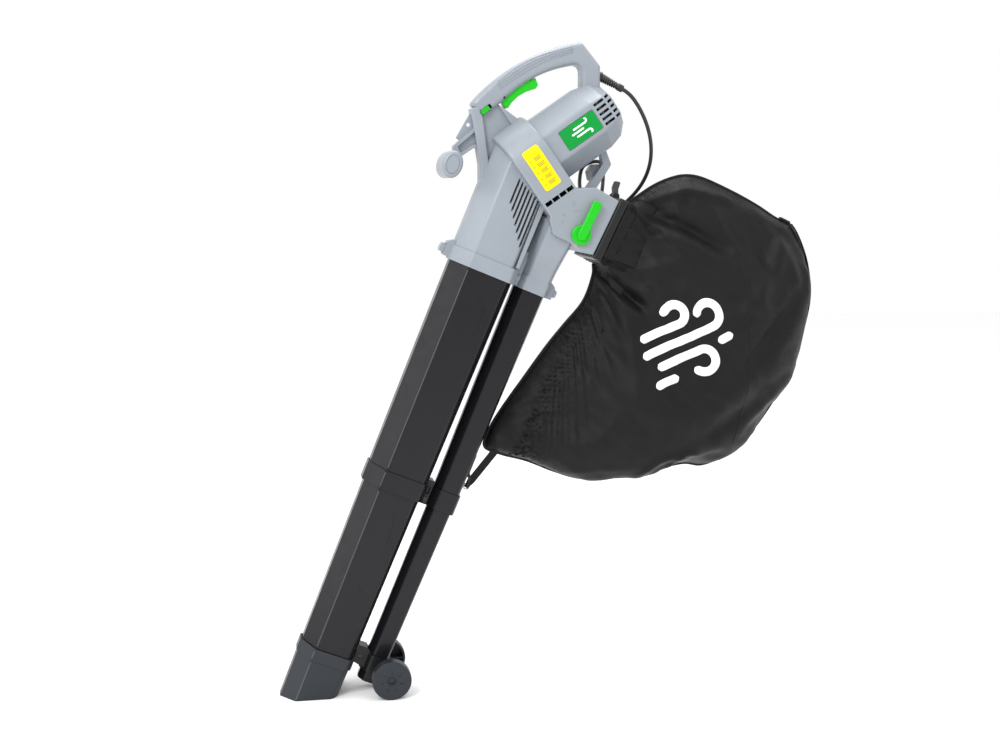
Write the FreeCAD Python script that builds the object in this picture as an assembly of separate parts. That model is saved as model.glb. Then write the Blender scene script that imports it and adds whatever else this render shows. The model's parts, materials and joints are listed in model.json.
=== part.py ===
import FreeCAD, Part
import math
import os

V = FreeCAD.Vector
Y_AXIS = V(0, 1, 0)
Z_AXIS = V(0, 0, 1)

# ---------------------------------------------------------------- driving dimensions, mm and degrees
# Origin: middle of the main grip. +Z up with the nozzle on the ground, +X towards the user, Y = 0 symmetry.
GROUND_Z = -1055.0  # the level that the nozzle mouth and the wheels stand on
TUBE_LEAN = 22.6  # both tubes lean forward from the vertical
TUBE_HEAD = V(-112.2, 0, -340.9)  # centre of the suction socket's lower edge
MOTOR_RISE = 34.5  # the motor axis rises towards the rear
MOTOR_HEAD = V(-53.1, 0, -179.8)  # the motor axis at the drum's front wall

WALL = 3.0  # housing wall
TUBE_WALL = 2.5
GAP = 0.4  # clearance between separate plastic parts

SUCTION_TOP = (0.0, 53.5, 50.0)  # centre, half width across, half width in Y
SUCTION_JOINT = (0.0, 50.5, 47.0)
SUCTION_LOW = (1.0, 45.0, 42.0)
BLOW_TOP = (90.0, 26.3, 26.0)
BLOW_JOINT = (90.0, 22.3, 22.0)
BLOW_LOW = (87.5, 18.8, 18.0)
JOINT_Q = -361.0  # where the upper tubes enter the lower ones, along the tubes
SOCKET = 32.0  # length of each tube socket
NOZZLE_Q = -685.0  # upper edge of the nozzle's collar
BLOW_END_Q = -720.0

DRUM_R = 70.0  # fan drum about the motor axis
DRUM_T = 62.0  # its width along the motor axis
BODY_Y = 70.0  # half width of the flat-sided outlet body
BARREL_X = 57.0  # half height of the motor cover
BARREL_Y = 59.0
BARREL_END = 198.0  # rear face of the motor cover, from the drum's front wall

SHAFT_R = 4.0
SHAFT_FIT = 0.05  # running clearance of the turning parts
IMPELLER_R = 62.0
BLADES = 10

WHEEL_R = 33.0
WHEEL_T = 21.0
WHEEL_Y = 44.0  # inner face of each wheel
AXLE = V(-270.0, 0, GROUND_Z + WHEEL_R)
AXLE_R = 4.0

CORD_D = 6.5
SCREW_R = 2.0

TUBE = FreeCAD.Placement(TUBE_HEAD, FreeCAD.Rotation(Y_AXIS, TUBE_LEAN))
MOTOR = FreeCAD.Placement(MOTOR_HEAD, FreeCAD.Rotation(Y_AXIS, 90.0 - MOTOR_RISE))

parts = {}


# ---------------------------------------------------------------- shared makers
def flat(z):
    """Maps an outline's two numbers to X and Y at height z."""
    return lambda a, b: V(a, b, z)


def upright(y):
    """Maps an outline's two numbers to X and Z at depth y."""
    return lambda a, b: V(a, y, b)


def rounded_wire(corners, radius, lay):
    """Closed outline through the corners, each one rounded. radius is one number, or one for each corner."""
    count = len(corners)
    radii = radius if isinstance(radius, (list, tuple)) else [radius] * count
    points = [lay(a, b) for a, b in corners]
    arcs = []
    for i, here in enumerate(points):
        back = (points[i - 1] - here).normalize()
        on = (points[(i + 1) % count] - here).normalize()
        half = back.getAngle(on) / 2
        reach = radii[i] / math.tan(half)
        inward = (back + on).normalize()
        middle = here + inward * (radii[i] / math.sin(half) - radii[i])
        arcs.append((here + back * reach, middle, here + on * reach))
    edges = []
    for i, (start, middle, end) in enumerate(arcs):
        if radii[i] > 0:
            edges.append(Part.Arc(start, middle, end).toShape())
        following = arcs[(i + 1) % count][0]
        if (following - end).Length > 1e-6:
            edges.append(Part.LineSegment(end, following).toShape())
    return Part.Wire(edges)


def prism(corners, radius, z0, z1):
    """Outline in X and Y, raised from z0 to z1."""
    return Part.Face(rounded_wire(corners, radius, flat(z0))).extrude(V(0, 0, z1 - z0))


def plate(corners, radius, y0, y1):
    """Outline in X and Z, as thick as from y0 to y1."""
    return Part.Face(rounded_wire(corners, radius, upright(y0))).extrude(V(0, y1 - y0, 0))


def box(x0, x1, y0, y1, z0, z1):
    return Part.makeBox(x1 - x0, y1 - y0, z1 - z0, V(x0, y0, z0))


def cylinder(radius, start, along, length):
    return Part.makeCylinder(radius, length, start, along)


def ring(outer, inner, start, along, length):
    return cylinder(outer, start, along, length).cut(cylinder(inner, start, along, length))


def fused(shapes):
    whole = shapes[0]
    for shape in shapes[1:]:
        whole = whole.fuse(shape)
    return whole.removeSplitter()


def cut_by(shape, cutters):
    for cutter in cutters:
        shape = shape.cut(cutter)
    return shape


def placed(shape, frame):
    moved = shape.copy()
    moved.Placement = frame.multiply(moved.Placement)
    return moved


def in_tube(p, q, y=0.0):
    """World point for p across the tubes, q along them and depth y."""
    return TUBE.multVec(V(p, y, q))


def in_motor(x, z, y=0.0):
    """World point for x down across the motor axis, z along it and depth y."""
    return MOTOR.multVec(V(x, y, z))


def both_sides(shape):
    """The shape and its mirror image across Y = 0, as two solids."""
    return Part.makeCompound([shape, shape.mirror(V(0, 0, 0), Y_AXIS)])


def edges_on_sides(shape, half):
    """Edges that lie flat in the planes y = -half and y = +half."""
    found = []
    for edge in shape.Edges:
        low, high = edge.BoundBox.YMin, edge.BoundBox.YMax
        if high - low < 0.01 and abs(abs(low) - half) < 0.01:
            found.append(edge)
    return found


# ---------------------------------------------------------------- tube sections
def facets(section, grow=0.0):
    """Eight-sided tube section: narrow front, slanted front flanks, wide sides and a flat rear."""
    centre, half_p, half_y = section[0], section[1] + grow, section[2] + grow
    near = [(-1.0, -0.27), (-0.47, -1.0), (0.8, -1.0), (1.0, -0.66)]
    far = [(a, -b) for a, b in reversed(near)]
    return [(centre + a * half_p, b * half_y) for a, b in near + far]


def facet_loft(stations, grow=0.0, radius=6.0):
    """Solid through the stations (q, section), with plane sides between them."""
    wires = [rounded_wire(facets(section, grow), radius, flat(q)) for q, section in stations]
    return Part.makeLoft(wires, True, True)


def between(low, high, share):
    return tuple(a + (b - a) * share for a, b in zip(low, high))


def hollow(stations, wall=TUBE_WALL, radius=6.0):
    """Open tube through the stations."""
    outer = facet_loft(stations, 0.0, radius)
    first, last = stations[0], stations[-1]
    sign = 1 if last[0] > first[0] else -1
    longer = [(first[0] - sign, first[1])] + list(stations[1:-1]) + [(last[0] + sign, last[1])]
    return outer.cut(facet_loft(longer, -wall, radius - 1.0))


def socketed(stations, seat, seat_q, depth):
    """Open tube whose upper end is a socket around the section seat, depth long from seat_q down."""
    grown = (seat[0], seat[1] + GAP + TUBE_WALL, seat[2] + GAP + TUBE_WALL)
    sleeve = facet_loft([(seat_q, grown), (seat_q - depth, grown)])
    seat_space = facet_loft([(seat_q + 1, seat), (seat_q - depth + 2, seat)], GAP)
    body = facet_loft([(seat_q - depth, stations[0][1])] + list(stations[1:]))
    bore = facet_loft([(seat_q + 1, stations[0][1])] + list(stations[1:-1])
                      + [(stations[-1][0] - 1, stations[-1][1])], -TUBE_WALL, 5.0)
    return sleeve.fuse(body).cut(seat_space).cut(bore).removeSplitter()


def suction_tubes():
    upper = hollow([(21.0, SUCTION_TOP), (0.0, SUCTION_TOP), (JOINT_Q - SOCKET + 3, SUCTION_JOINT)])
    upper = upper.cut(cylinder(3.4, V(-60, 0, 14), V(1, 0, 0), 15))
    parts["suction_tube_upper"] = placed(upper, TUBE)
    low_start = (0.0, 48.3, 45.0)
    lower = socketed([(JOINT_Q - SOCKET, low_start), (NOZZLE_Q - 18, SUCTION_LOW)],
                     SUCTION_JOINT, JOINT_Q, SOCKET)
    parts["suction_tube_lower"] = placed(lower, TUBE)


def blow_tubes():
    upper = hollow([(21.0, BLOW_TOP), (0.0, BLOW_TOP), (JOINT_Q - SOCKET, BLOW_JOINT)], 2.0, 5.0)
    upper = upper.cut(cylinder(3.4, V(110, 0, 12), V(1, 0, 0), 10))
    parts["blow_tube_upper"] = placed(upper, TUBE)
    low_start = (90.0, 21.0, 20.3)
    tip = (BLOW_LOW[0], BLOW_LOW[1] - 1.5, BLOW_LOW[2] - 1.5)
    lower = socketed([(JOINT_Q - SOCKET - 3, low_start), (BLOW_END_Q + 5, BLOW_LOW), (BLOW_END_Q, tip)],
                     BLOW_JOINT, JOINT_Q - 3, SOCKET + 3)
    parts["blow_tube_lower"] = placed(lower, TUBE)


def nozzle():
    """Collar over the lower suction tube, and a mouth cut level with the ground."""
    collar = (1.0, SUCTION_LOW[1] + GAP + 3.0, SUCTION_LOW[2] + GAP + 3.0)
    mouth = (1.5, 43.8, 41.5)
    form = facet_loft([(NOZZLE_Q, collar), (NOZZLE_Q - 20, collar)]).fuse(
        facet_loft([(NOZZLE_Q - 20, (1.0, 45.6, 42.6)), (NOZZLE_Q - 150, mouth)]))
    seat = facet_loft([(NOZZLE_Q + 1, SUCTION_LOW), (NOZZLE_Q - 19, SUCTION_LOW)], GAP + 0.2)
    bore = facet_loft([(NOZZLE_Q + 1, (1.0, 45.6, 42.6)), (NOZZLE_Q - 151, mouth)], -TUBE_WALL - 0.6, 5.0)
    shape = placed(form.cut(seat).cut(bore), TUBE)
    below = box(-600, 200, -100, 100, GROUND_Z - 200, GROUND_Z)
    parts["nozzle"] = shape.cut(below).removeSplitter()


def tube_clamps():
    """Black blocks that hold the two tubes apart; the lower one carries the axle."""
    left = SUCTION_JOINT[1] + GAP + TUBE_WALL + 0.1
    right = BLOW_JOINT[0] - BLOW_JOINT[1] - GAP - TUBE_WALL - 0.1
    middle = plate([(left, -356), (right, -356), (right, -398), (left, -398)], 0.8, -15, 15)
    middle = middle.cut(plate([(left + 3, -366), (right - 3, -366), (right - 3, -380), (left + 3, -380)],
                              0.5, -16, -11))
    middle = middle.cut(cylinder(SCREW_R, V((left + right) / 2, -16, -389), Y_AXIS, 20))
    parts["tube_clamp_middle"] = placed(middle, TUBE)

    around = facet_loft([(-672, BLOW_LOW), (-702, BLOW_LOW)], 3.6)
    arm = plate([(50.0, -664), (66, -664), (76, -672), (76, -700), (50.0, -694)], 1.0, -14, 14)
    tube_space = facet_loft([(-640, between(BLOW_LOW, (90.0, 21.0, 20.3), 0.25)), (BLOW_END_Q + 5, BLOW_LOW)],
                            GAP)
    axle_p = (TUBE.inverse().multVec(AXLE)).x
    axle_q = (TUBE.inverse().multVec(AXLE)).z
    carrier = plate([(96, -670), (axle_p + 4, axle_q + 11), (axle_p + 9, axle_q), (axle_p, axle_q - 10),
                     (96, -702)], [1, 4, 4, 4, 1], -17, 17)
    boss = cylinder(9.0, V(axle_p, -41, axle_q), Y_AXIS, 82)
    clamp = fused([around, arm, carrier, boss]).cut(tube_space)
    clamp = clamp.cut(cylinder(AXLE_R, V(axle_p, -60, axle_q), Y_AXIS, 120))
    clamp = clamp.cut(cylinder(SCREW_R, V(59, -16, -682), Y_AXIS, 20))
    clamp = clamp.cut(cylinder(4.2, V(59, -16, -682), Y_AXIS, 5))
    parts["tube_clamp_lower"] = placed(clamp, TUBE)
    screws = []
    for p, q, y in (((left + right) / 2, -389.0, -15.0), (59.0, -682.0, -11.0)):
        screw = cylinder(3.6, V(p, y - 2.2, q), Y_AXIS, 2.2).fuse(cylinder(SCREW_R, V(p, y, q), Y_AXIS, 14.0))
        screws.append(screw.cut(box(p - 0.5, p + 0.5, y - 3, y - 1.2, q - 2.6, q + 2.6)))
    parts["clamp_screws"] = placed(Part.makeCompound(screws), TUBE)


# ---------------------------------------------------------------- wheels
def wheel(side):
    """Moulded wheel, open towards the clamp, with ribs behind its face and marks around the hub."""
    face_y = WHEEL_Y + WHEEL_T
    tyre = cylinder(WHEEL_R, V(0, WHEEL_Y, 0), Y_AXIS, WHEEL_T)
    rims = [e for e in tyre.Edges if e.BoundBox.YMax - e.BoundBox.YMin < 0.01]
    tyre = tyre.makeFillet(2.0, rims)
    hollowing = cylinder(WHEEL_R - 4, V(0, WHEEL_Y - 1, 0), Y_AXIS, WHEEL_T - 3)
    hub = cylinder(9, V(0, WHEEL_Y, 0), Y_AXIS, WHEEL_T - 1)
    rib = box(8, WHEEL_R - 3, WHEEL_Y + 2, face_y - 2, -1, 1)
    ribs = [rib.rotated(V(0, 0, 0), Y_AXIS, 60.0 * i) for i in range(6)]
    shape = tyre.cut(hollowing)
    shape = fused([shape, hub] + ribs)
    shape = shape.cut(cylinder(AXLE_R + SHAFT_FIT, V(0, WHEEL_Y - 1, 0), Y_AXIS, WHEEL_T + 2))
    shape = shape.cut(cylinder(5.6, V(0, face_y - 4.0, 0), Y_AXIS, 5))
    shape = shape.cut(ring(8.6, 7.6, V(0, face_y - 0.7, 0), Y_AXIS, 2))
    for i in range(7):
        mark = plate([(13.0, -1.0), (19.5, -0.5), (19.5, 0.9), (14.5, 1.2)], 0.3, face_y - 0.8, face_y + 1)
        shape = shape.cut(mark.rotated(V(0, 0, 0), Y_AXIS, 360.0 / 7 * i + 15))
    if side < 0:
        shape = shape.mirror(V(0, 0, 0), Y_AXIS)
    return shape.translated(AXLE)


def running_gear():
    parts["wheel_left"] = wheel(-1)
    parts["wheel_right"] = wheel(1)
    half = WHEEL_Y + WHEEL_T - 3.0
    parts["axle"] = cylinder(AXLE_R, AXLE + V(0, -half, 0), Y_AXIS, 2 * half)
    washer = ring(8.0, AXLE_R, AXLE + V(0, 41.3, 0), Y_AXIS, 2.2)
    parts["axle_clips"] = both_sides(washer)


# ---------------------------------------------------------------- housing
def duct_form(inset):
    """Suction duct, from its socket up to the drum's front wall."""
    section = (-2.2, 53.8, 52.5)
    form = placed(facet_loft([(20.0, section), (250.0, section)], -inset, 6.0 if inset else 7.0), TUBE)
    behind = placed(box(-400, 400, -200, 200, 0.0 if inset else 3.5, 600), MOTOR)
    return form.cut(behind)


def blow_form(inset):
    """Blow duct, widening from its socket to the flat-sided outlet body."""
    stations = [(20.0, (90.0, 28.6, 28.6)), (45.0, (89.5, 29.5, 36.0)), (88.0, (88.5, 33.0, 54.0)),
                (122.0, (88.0, 35.0, 64.0))]
    return placed(facet_loft(stations, -inset, 6.0 if inset else 7.0), TUBE)


def outlet_form(inset):
    """Flat-sided body between the drum, the blow duct and the bag port."""
    g = inset
    outline = [(58 + g, 150 - g), (66 + g, 118 + g), (80, 100 + g), (124, 98 + g), (137, 92 + g),
               (155 + 3 * (g > 0), 95 + g), (161 + 3 * (g > 0), 192 - g), (116, 197.5 - g), (88, 184 - g)]
    form = plate(outline, 2.0, -BODY_Y + g, BODY_Y - g)
    if not inset:
        form = form.makeFillet(3.0, edges_on_sides(form, BODY_Y))
    return placed(form, TUBE)


def drum_form(inset):
    """Fan drum: a round top about the motor axis, straight sides below."""
    r = DRUM_R - inset
    low = 97.0
    arch = cylinder(r, V(0, 0, inset), Z_AXIS, DRUM_T - 2 * inset)
    lower = box(0, low - inset, -BODY_Y + inset, BODY_Y - inset, inset, DRUM_T - 2 * inset + inset)
    if inset:
        return placed(arch.fuse(lower), MOTOR)
    arch = arch.makeFillet(4.5, [e for e in arch.Edges if e.BoundBox.ZMax - e.BoundBox.ZMin < 0.01])
    sides = [e for e in lower.Edges if e.BoundBox.XMax - e.BoundBox.XMin > 90]
    lower = lower.makeFillet(4.5, sides)
    return placed(arch.fuse(lower), MOTOR)


def barrel_section(inset, scale):
    """Motor cover section: crown, slanted shoulders, flat sides with the badge, slanted underside."""
    x, y = BARREL_X * scale - inset, BARREL_Y * scale - inset
    near = [(-1.0, -0.30), (-0.46, -1.0), (0.42, -1.0), (1.0, -0.36)]
    far = [(a, -b) for a, b in reversed(near)]
    return [(a * x, b * y) for a, b in near + far]


def barrel_form(inset):
    """Motor cover behind the drum, tapering to its rear face."""
    radius = 7.0 if inset else 9.0
    stations = [(DRUM_T - 8 + inset, 1.0), (158, 0.99), (182, 0.88), (BARREL_END - inset, 0.62)]
    if inset:
        stations[0] = (DRUM_T - inset - 1, 1.0)
    wires = [rounded_wire(barrel_section(inset, s), radius * s, flat(z)) for z, s in stations]
    return placed(Part.makeLoft(wires, True, True), MOTOR)


def grip_outline(inset, y):
    """Closed outline of the main grip with its rear post."""
    g = inset
    front = V(-127 + g, y, -69)
    shoulder = V(-119 + g, y, -59.4 - g * 0.8)
    crown = V(-38.5 + g * 0.35, y, 1.5 - g * 0.9)
    rear_top = V(58.0 - g * 0.5, y, 33.5 - g)
    heel = V(90.2 - g, y, -5.0 - g * 0.4)
    foot = V(90.2 - g, y, -62.0)
    foot_in = V(57.0 + g, y, -62.0)
    corner = V(57.0 + g, y, -2.5 + g)
    belly = V(-10.0 - g * 0.3, y, -20.5 + g * 0.9)
    trigger_end = V(-74.0, y, -64.5 + g)
    neck = V(-104.0, y, -88 + g)
    edges = [Part.LineSegment(front, shoulder), Part.Arc(shoulder, crown, rear_top),
             Part.LineSegment(rear_top, heel), Part.LineSegment(heel, foot),
             Part.LineSegment(foot, foot_in), Part.LineSegment(foot_in, corner),
             Part.Arc(corner, belly, trigger_end), Part.LineSegment(trigger_end, neck),
             Part.LineSegment(neck, front)]
    return Part.Wire([e.toShape() for e in edges])


def upright_edges(shape, spots, reach=3.0):
    """Edges along Y that pass near the given X, Z spots."""
    found = []
    for edge in shape.Edges:
        b = edge.BoundBox
        if b.XMax - b.XMin < 0.01 and b.ZMax - b.ZMin < 0.01:
            if any(math.hypot(b.XMin - x, b.ZMin - z) < reach for x, z in spots):
                found.append(edge)
    return found


def grip_form(inset):
    half = 17.5 - inset
    form = Part.Face(grip_outline(inset, -half)).extrude(V(0, 2 * half, 0))
    if inset:
        return form
    form = form.makeFillet(11.0, upright_edges(form, [(58, 33), (57, -3)], 5.0))
    form = form.makeFillet(5.0, upright_edges(form, [(90, -5), (-119, -59), (-127, -69)], 5.0))
    return form.makeFillet(9.0, edges_on_sides(form, half))


def post_form(inset):
    """Front post, the strut at the trigger and the thin web between them."""
    g = inset
    post = plate([(-126.5 + g, -76), (-119.2 + g, -118), (-111.5 + g, -166), (-111.5 + g, -206),
                  (-96 - g, -206), (-96 - g, -168), (-106 - g, -92), (-112, -72)], 1.5, -17 + g, 17 - g)
    if inset:
        return post
    strut = plate([(-86, -64), (-69.5, -77), (-47, -93), (-44, -104), (-57, -104), (-79, -73)], 1.5, -15, 15)
    web = plate([(-112, -80), (-80, -68), (-52, -98), (-60, -130), (-97, -172)], 1.5, -8, 8)
    post = post.makeFillet(3.0, edges_on_sides(post, 17))
    return post.fuse(strut).fuse(web)


def collars():
    """Sockets for the two tubes with the pockets of their latches, and the pin boss between them."""
    suction = facet_loft([(0.0, (0.0, 57.8, 54.5)), (25.0, (-0.6, 57.2, 54.0))], 0.0, 7.0)
    blow = facet_loft([(0.0, (90.0, 30.2, 30.0)), (24.0, (90.0, 30.2, 30.0))], 0.0, 7.0)
    web = box(52, 66, -20, 20, 2, 60)
    rail = plate([(47, 28), (53, 28), (54, 150), (45, 158)], 1.0, -50, 50)
    left_boss = plate([(-68, 2.5), (-50, 2.5), (-50, 33), (-57, 33), (-68, 26.5)], [2, 0.5, 0.5, 2, 3], -15, 15)
    right_boss = plate([(110, 0.5), (130, 0.5), (130, 22), (121, 28), (110, 28)], [0.5, 2, 3, 2, 0.5], -13, 13)
    pin = cylinder(4.4, V(62.0, -24.5, 14), Y_AXIS, 8)
    return placed(fused([suction, blow, web, rail, left_boss, right_boss, pin]), TUBE)


def latch_pockets():
    left = plate([(-69, 6), (-60.4, 6), (-60.4, 22), (-69, 22)], 0.5, -12, 12)
    left_stem = cylinder(3.4, V(-63, 0, 14), V(1, 0, 0), 15)
    right = plate([(121.5, 5), (131, 5), (131, 19), (121.5, 19)], 0.5, -10, 10)
    right_stem = cylinder(3.4, V(125, 0, 12), V(-1, 0, 0), 15)
    return [placed(s, TUBE) for s in (left, left_stem, right, right_stem)]


def socket_spaces():
    """Room for the tube ends in their sockets, open downwards."""
    suction = facet_loft([(-1.0, SUCTION_TOP), (22.0, SUCTION_TOP)], GAP)
    blow = facet_loft([(-1.0, BLOW_TOP), (22.0, BLOW_TOP)], GAP)
    throat = facet_loft([(15.0, SUCTION_TOP), (30.0, SUCTION_TOP)], -TUBE_WALL - 1.0)
    throat_b = facet_loft([(15.0, BLOW_TOP), (30.0, BLOW_TOP)], -TUBE_WALL)
    return [placed(s, TUBE) for s in (suction, blow, throat, throat_b)]


def inlet_louvres():
    """Grooves along the tube in both sides of the suction duct, stepped along the drum's front edge."""
    grooves = []
    count, first, last = 7, -4.0, 37.5
    for i in range(count):
        share = i / (count - 1)
        p = first + (last - first) * share
        low, high = 120.0 - 60.0 * share, 164.0 - 20.0 * share
        groove = plate([(p, low), (p + 3.6, low), (p + 3.6, high), (p, high)], 1.0, -53.5, -50.7)
        grooves.append(placed(groove, TUBE))
        grooves.append(placed(groove.mirror(V(0, 0, 0), Y_AXIS), TUBE))
    return grooves


def drum_slots():
    """Row of four slots across the near side, below the sticker."""
    slots = []
    for i in range(4):
        z = 4.0 + 14.0 * i
        slots.append(placed(box(63.0, 70.0, -BODY_Y - 2, -BODY_Y + WALL + 1, z, z + 12.0), MOTOR))
    return slots


def motor_vents():
    """Five cooling slots in each side of the motor cover, and five in each side of its rear taper."""
    slots = []
    for i in range(5):
        x = -22.0 + 9.0 * i
        for z0, z1, deep, high in ((161, 181, 42, 70), (185.5, 195.5, 30, 60)):
            for low, top in ((-high, -deep), (deep, high)):
                slot = plate([(x, z0), (x + 4.4, z0), (x + 4.4, z1), (x, z1)], 1.0, low, top)
                slots.append(placed(slot, MOTOR))
    return slots


BADGE = (-16.5, 17.5, 88.0, 155.0)  # x and z limits of the badge on the motor cover


def badge_recesses():
    x0, x1, z0, z1 = BADGE
    near = plate([(x0 - 1, z0 - 1), (x1 + 1, z0 - 1), (x1 + 1, z1 + 1), (x0 - 1, z1 + 1)], 3.0,
                 -BARREL_Y - 2, -BARREL_Y + 1.6)
    return [placed(near, MOTOR), placed(near.mirror(V(0, 0, 0), Y_AXIS), MOTOR)]


def badges():
    x0, x1, z0, z1 = BADGE
    near = plate([(x0, z0), (x1, z0), (x1, z1), (x0, z1)], 2.5, -BARREL_Y + 0.3, -BARREL_Y + 1.5)
    parts["badge_left"] = placed(near, MOTOR)
    parts["badge_right"] = placed(near.mirror(V(0, 0, 0), Y_AXIS), MOTOR)


def internal_walls():
    """Drum front wall eye, rear bearing wall and screw bosses are part of the shells."""
    bearing_wall = placed(cylinder(60, V(0, 0, 168), Z_AXIS, 6).common(
        box(-60, 60, -60, 60, 160, 180)), MOTOR).common(barrel_form(WALL - 0.5))
    windows = [placed(ring(40, 17, V(0, 0, 166), Z_AXIS, 10).common(
        box(4, 60, 4, 60, 160, 180).rotated(V(0, 0, 0), Z_AXIS, 90.0 * i)), MOTOR) for i in range(4)]
    seat = placed(ring(14, 11.2, V(0, 0, 165), Z_AXIS, 12), MOTOR)
    bore = placed(cylinder(11.2, V(0, 0, 160), Z_AXIS, 20), MOTOR)
    return fused([cut_by(bearing_wall, windows), seat]).cut(bore)


# ---------------------------------------------------------------- controls in the grip
TRIGGER_PIVOT = V(-71.0, 0, -58.0)
LOCK = FreeCAD.Placement(V(-101.5, 0, -77.4), FreeCAD.Rotation(Y_AXIS, -37.8))


def trigger_room():
    """Slot in the grip's underside that the trigger moves in."""
    return plate([(-81, -52), (-77.5, -66), (-68, -77.6), (-62, -75), (-40, -59.5), (-13, -44.5), (-8, -38),
                  (-12, -17), (-40, -25), (-76, -45)], 1.0, -9.6, 9.6)


def controls():
    form = plate([(-78, -56), (-75, -64), (-68.5, -75.2), (-63.5, -74.2), (-57.5, -65.4), (-47.4, -55.8),
                  (-33.5, -47.8), (-17.4, -42.6), (-13.5, -37), (-18, -25), (-40, -34.5), (-72, -51)],
                 [2, 2, 2, 3, 8, 12, 12, 3, 3, 2, 4, 2], -9, 9)
    form = form.makeFillet(1.5, edges_on_sides(form, 9))
    form = form.cut(cylinder(2.0 + SHAFT_FIT, TRIGGER_PIVOT + V(0, -12, 0), Y_AXIS, 24))
    parts["trigger"] = form
    parts["trigger_pin"] = cylinder(2.0, TRIGGER_PIVOT + V(0, -15.5, 0), Y_AXIS, 31)
    parts["trigger_spring"] = ring(4.2, 2.4, TRIGGER_PIVOT + V(0, 9.7, 0), Y_AXIS, 3.4)

    pad = plate([(-7.5, -3.6), (7.5, -3.6), (7.5, 3.6), (-7.5, 3.6)], 1.0, -19.2, -13.2)
    flange = box(-9.5, 9.5, -13.2, -11.7, -5.0, 5.0)
    pad = pad.translated(V(-2.2, 0, 0)).fuse(flange.translated(V(-2.2, 0, 0)))
    for i in range(4):
        pad = pad.cut(box(-7.6 + 3.2 * i, -6.6 + 3.2 * i, -19.6, -18.6, -4, 4))
    parts["lock_slider"] = placed(pad, LOCK)

    case = box(-17, 17, -8, 8, -5, 5)
    case = case.makeFillet(1.0, case.Edges)
    parts["switch_module"] = placed(case, FreeCAD.Placement(V(-37, 0, -11), FreeCAD.Rotation(Y_AXIS, -33)))
    can = box(66, 80, -6, 6, -41, -25)
    parts["capacitor"] = can.makeFillet(1.5, can.Edges)


def lock_slot():
    slot = plate([(-10.5, -4.0), (10.5, -4.0), (10.5, 4.0), (-10.5, 4.0)], 1.0, -19, -12)
    return placed(slot.fuse(box(-12.2, 12.8, -13.6, -11.4, -5.4, 5.4)), LOCK)


# ---------------------------------------------------------------- front handle and cord hook
BAR = V(-160.0, 0, -166.0)  # centre of the front handle's cross bar
BAR_LEAN = 17.0
STRAP_EYE = V(-129.0, 0, -101.5)
STRAP_EYE_R = 3.2


def oval_bar(high, wide, y0, y1):
    """Upright oval section about the bar's centre, leaning with the tubes."""
    oval = Part.Ellipse(V(0, 0, 0), high, wide).toShape()
    rod = Part.Face(Part.Wire([oval])).extrude(V(0, 0, y1 - y0))
    rod = rod.rotated(V(0, 0, 0), V(1, 0, 0), -90).rotated(V(0, 0, 0), Y_AXIS, BAR_LEAN - 90)
    return rod.translated(BAR + V(0, y0, 0))


def front_handle():
    bar = oval_bar(22.5, 17.0, -43, 43)
    ends = [e for e in bar.Edges if e.BoundBox.YMax - e.BoundBox.YMin < 0.01]
    bar = bar.makeFillet(6.0, ends)
    arm = plate([(-112, -100), (-155, -136), (-152, -160), (-136, -149), (-122, -140), (-107, -136)],
                [0.5, 3, 3, 8, 8, 0.5], -11, 11)
    for low, high in ((-12, -4), (4, 12)):
        pocket = plate([(-110, -105.5), (-148, -137), (-143, -147), (-124, -135), (-108, -131)], 2.0, low, high)
        arm = arm.cut(pocket)
    eye_web = plate([(-124.5, -80.5), (-149.5, -123), (-141, -128), (-117, -106)], [2, 2, 0.5, 0.5], -2.5, 2.5)
    eye = cylinder(STRAP_EYE_R, STRAP_EYE + V(0, -5, 0), Y_AXIS, 10)
    shape = bar.fuse(arm).fuse(eye_web).cut(eye).cut(post_form(0)).cut(grip_form(0))
    for low, high in ((-44, -41.5), (41.5, 44)):
        shape = shape.cut(oval_bar(15.2, 10.2, low, high))
    parts["front_handle"] = largest(shape)
    caps = [oval_bar(15.0, 10.0, -43.8, -41.5), oval_bar(15.0, 10.0, 41.5, 43.8)]
    parts["front_handle_caps"] = Part.makeCompound(caps)


def largest(shape):
    """The biggest solid of a cut, without the crumbs."""
    return max(shape.removeSplitter().Solids, key=lambda solid: solid.Volume)


def cord_hook():
    """Bent strap from the motor cover to the outlet body, with a horn behind it that the cord lies over."""
    strap = plate([(84, -134), (101, -139), (111.5, -165.5), (86, -205), (70, -204), (97.0, -164.5),
                   (93.5, -150), (80, -148)], [0.5, 3, 5, 0.5, 0.5, 4, 3, 0.5], -9, 9)
    horn = plate([(84, -193), (80, -176), (87, -164.4), (97, -164.4), (102, -172), (96, -186)],
                 [2, 6, 5, 5, 3, 2], 5, 48)
    shape = strap.fuse(horn).cut(barrel_form(0)).cut(outlet_form(0)).cut(drum_form(0))
    parts["cord_hook"] = largest(shape)


# ---------------------------------------------------------------- motor and fan, along the motor axis
def turned(profile):
    """Solid of revolution about the motor axis from (radius, z) corners."""
    face = Part.Face(Part.makePolygon([V(r, 0, z) for r, z in profile + profile[:1]]))
    return face.revolve(V(0, 0, 0), Z_AXIS, 360)


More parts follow.
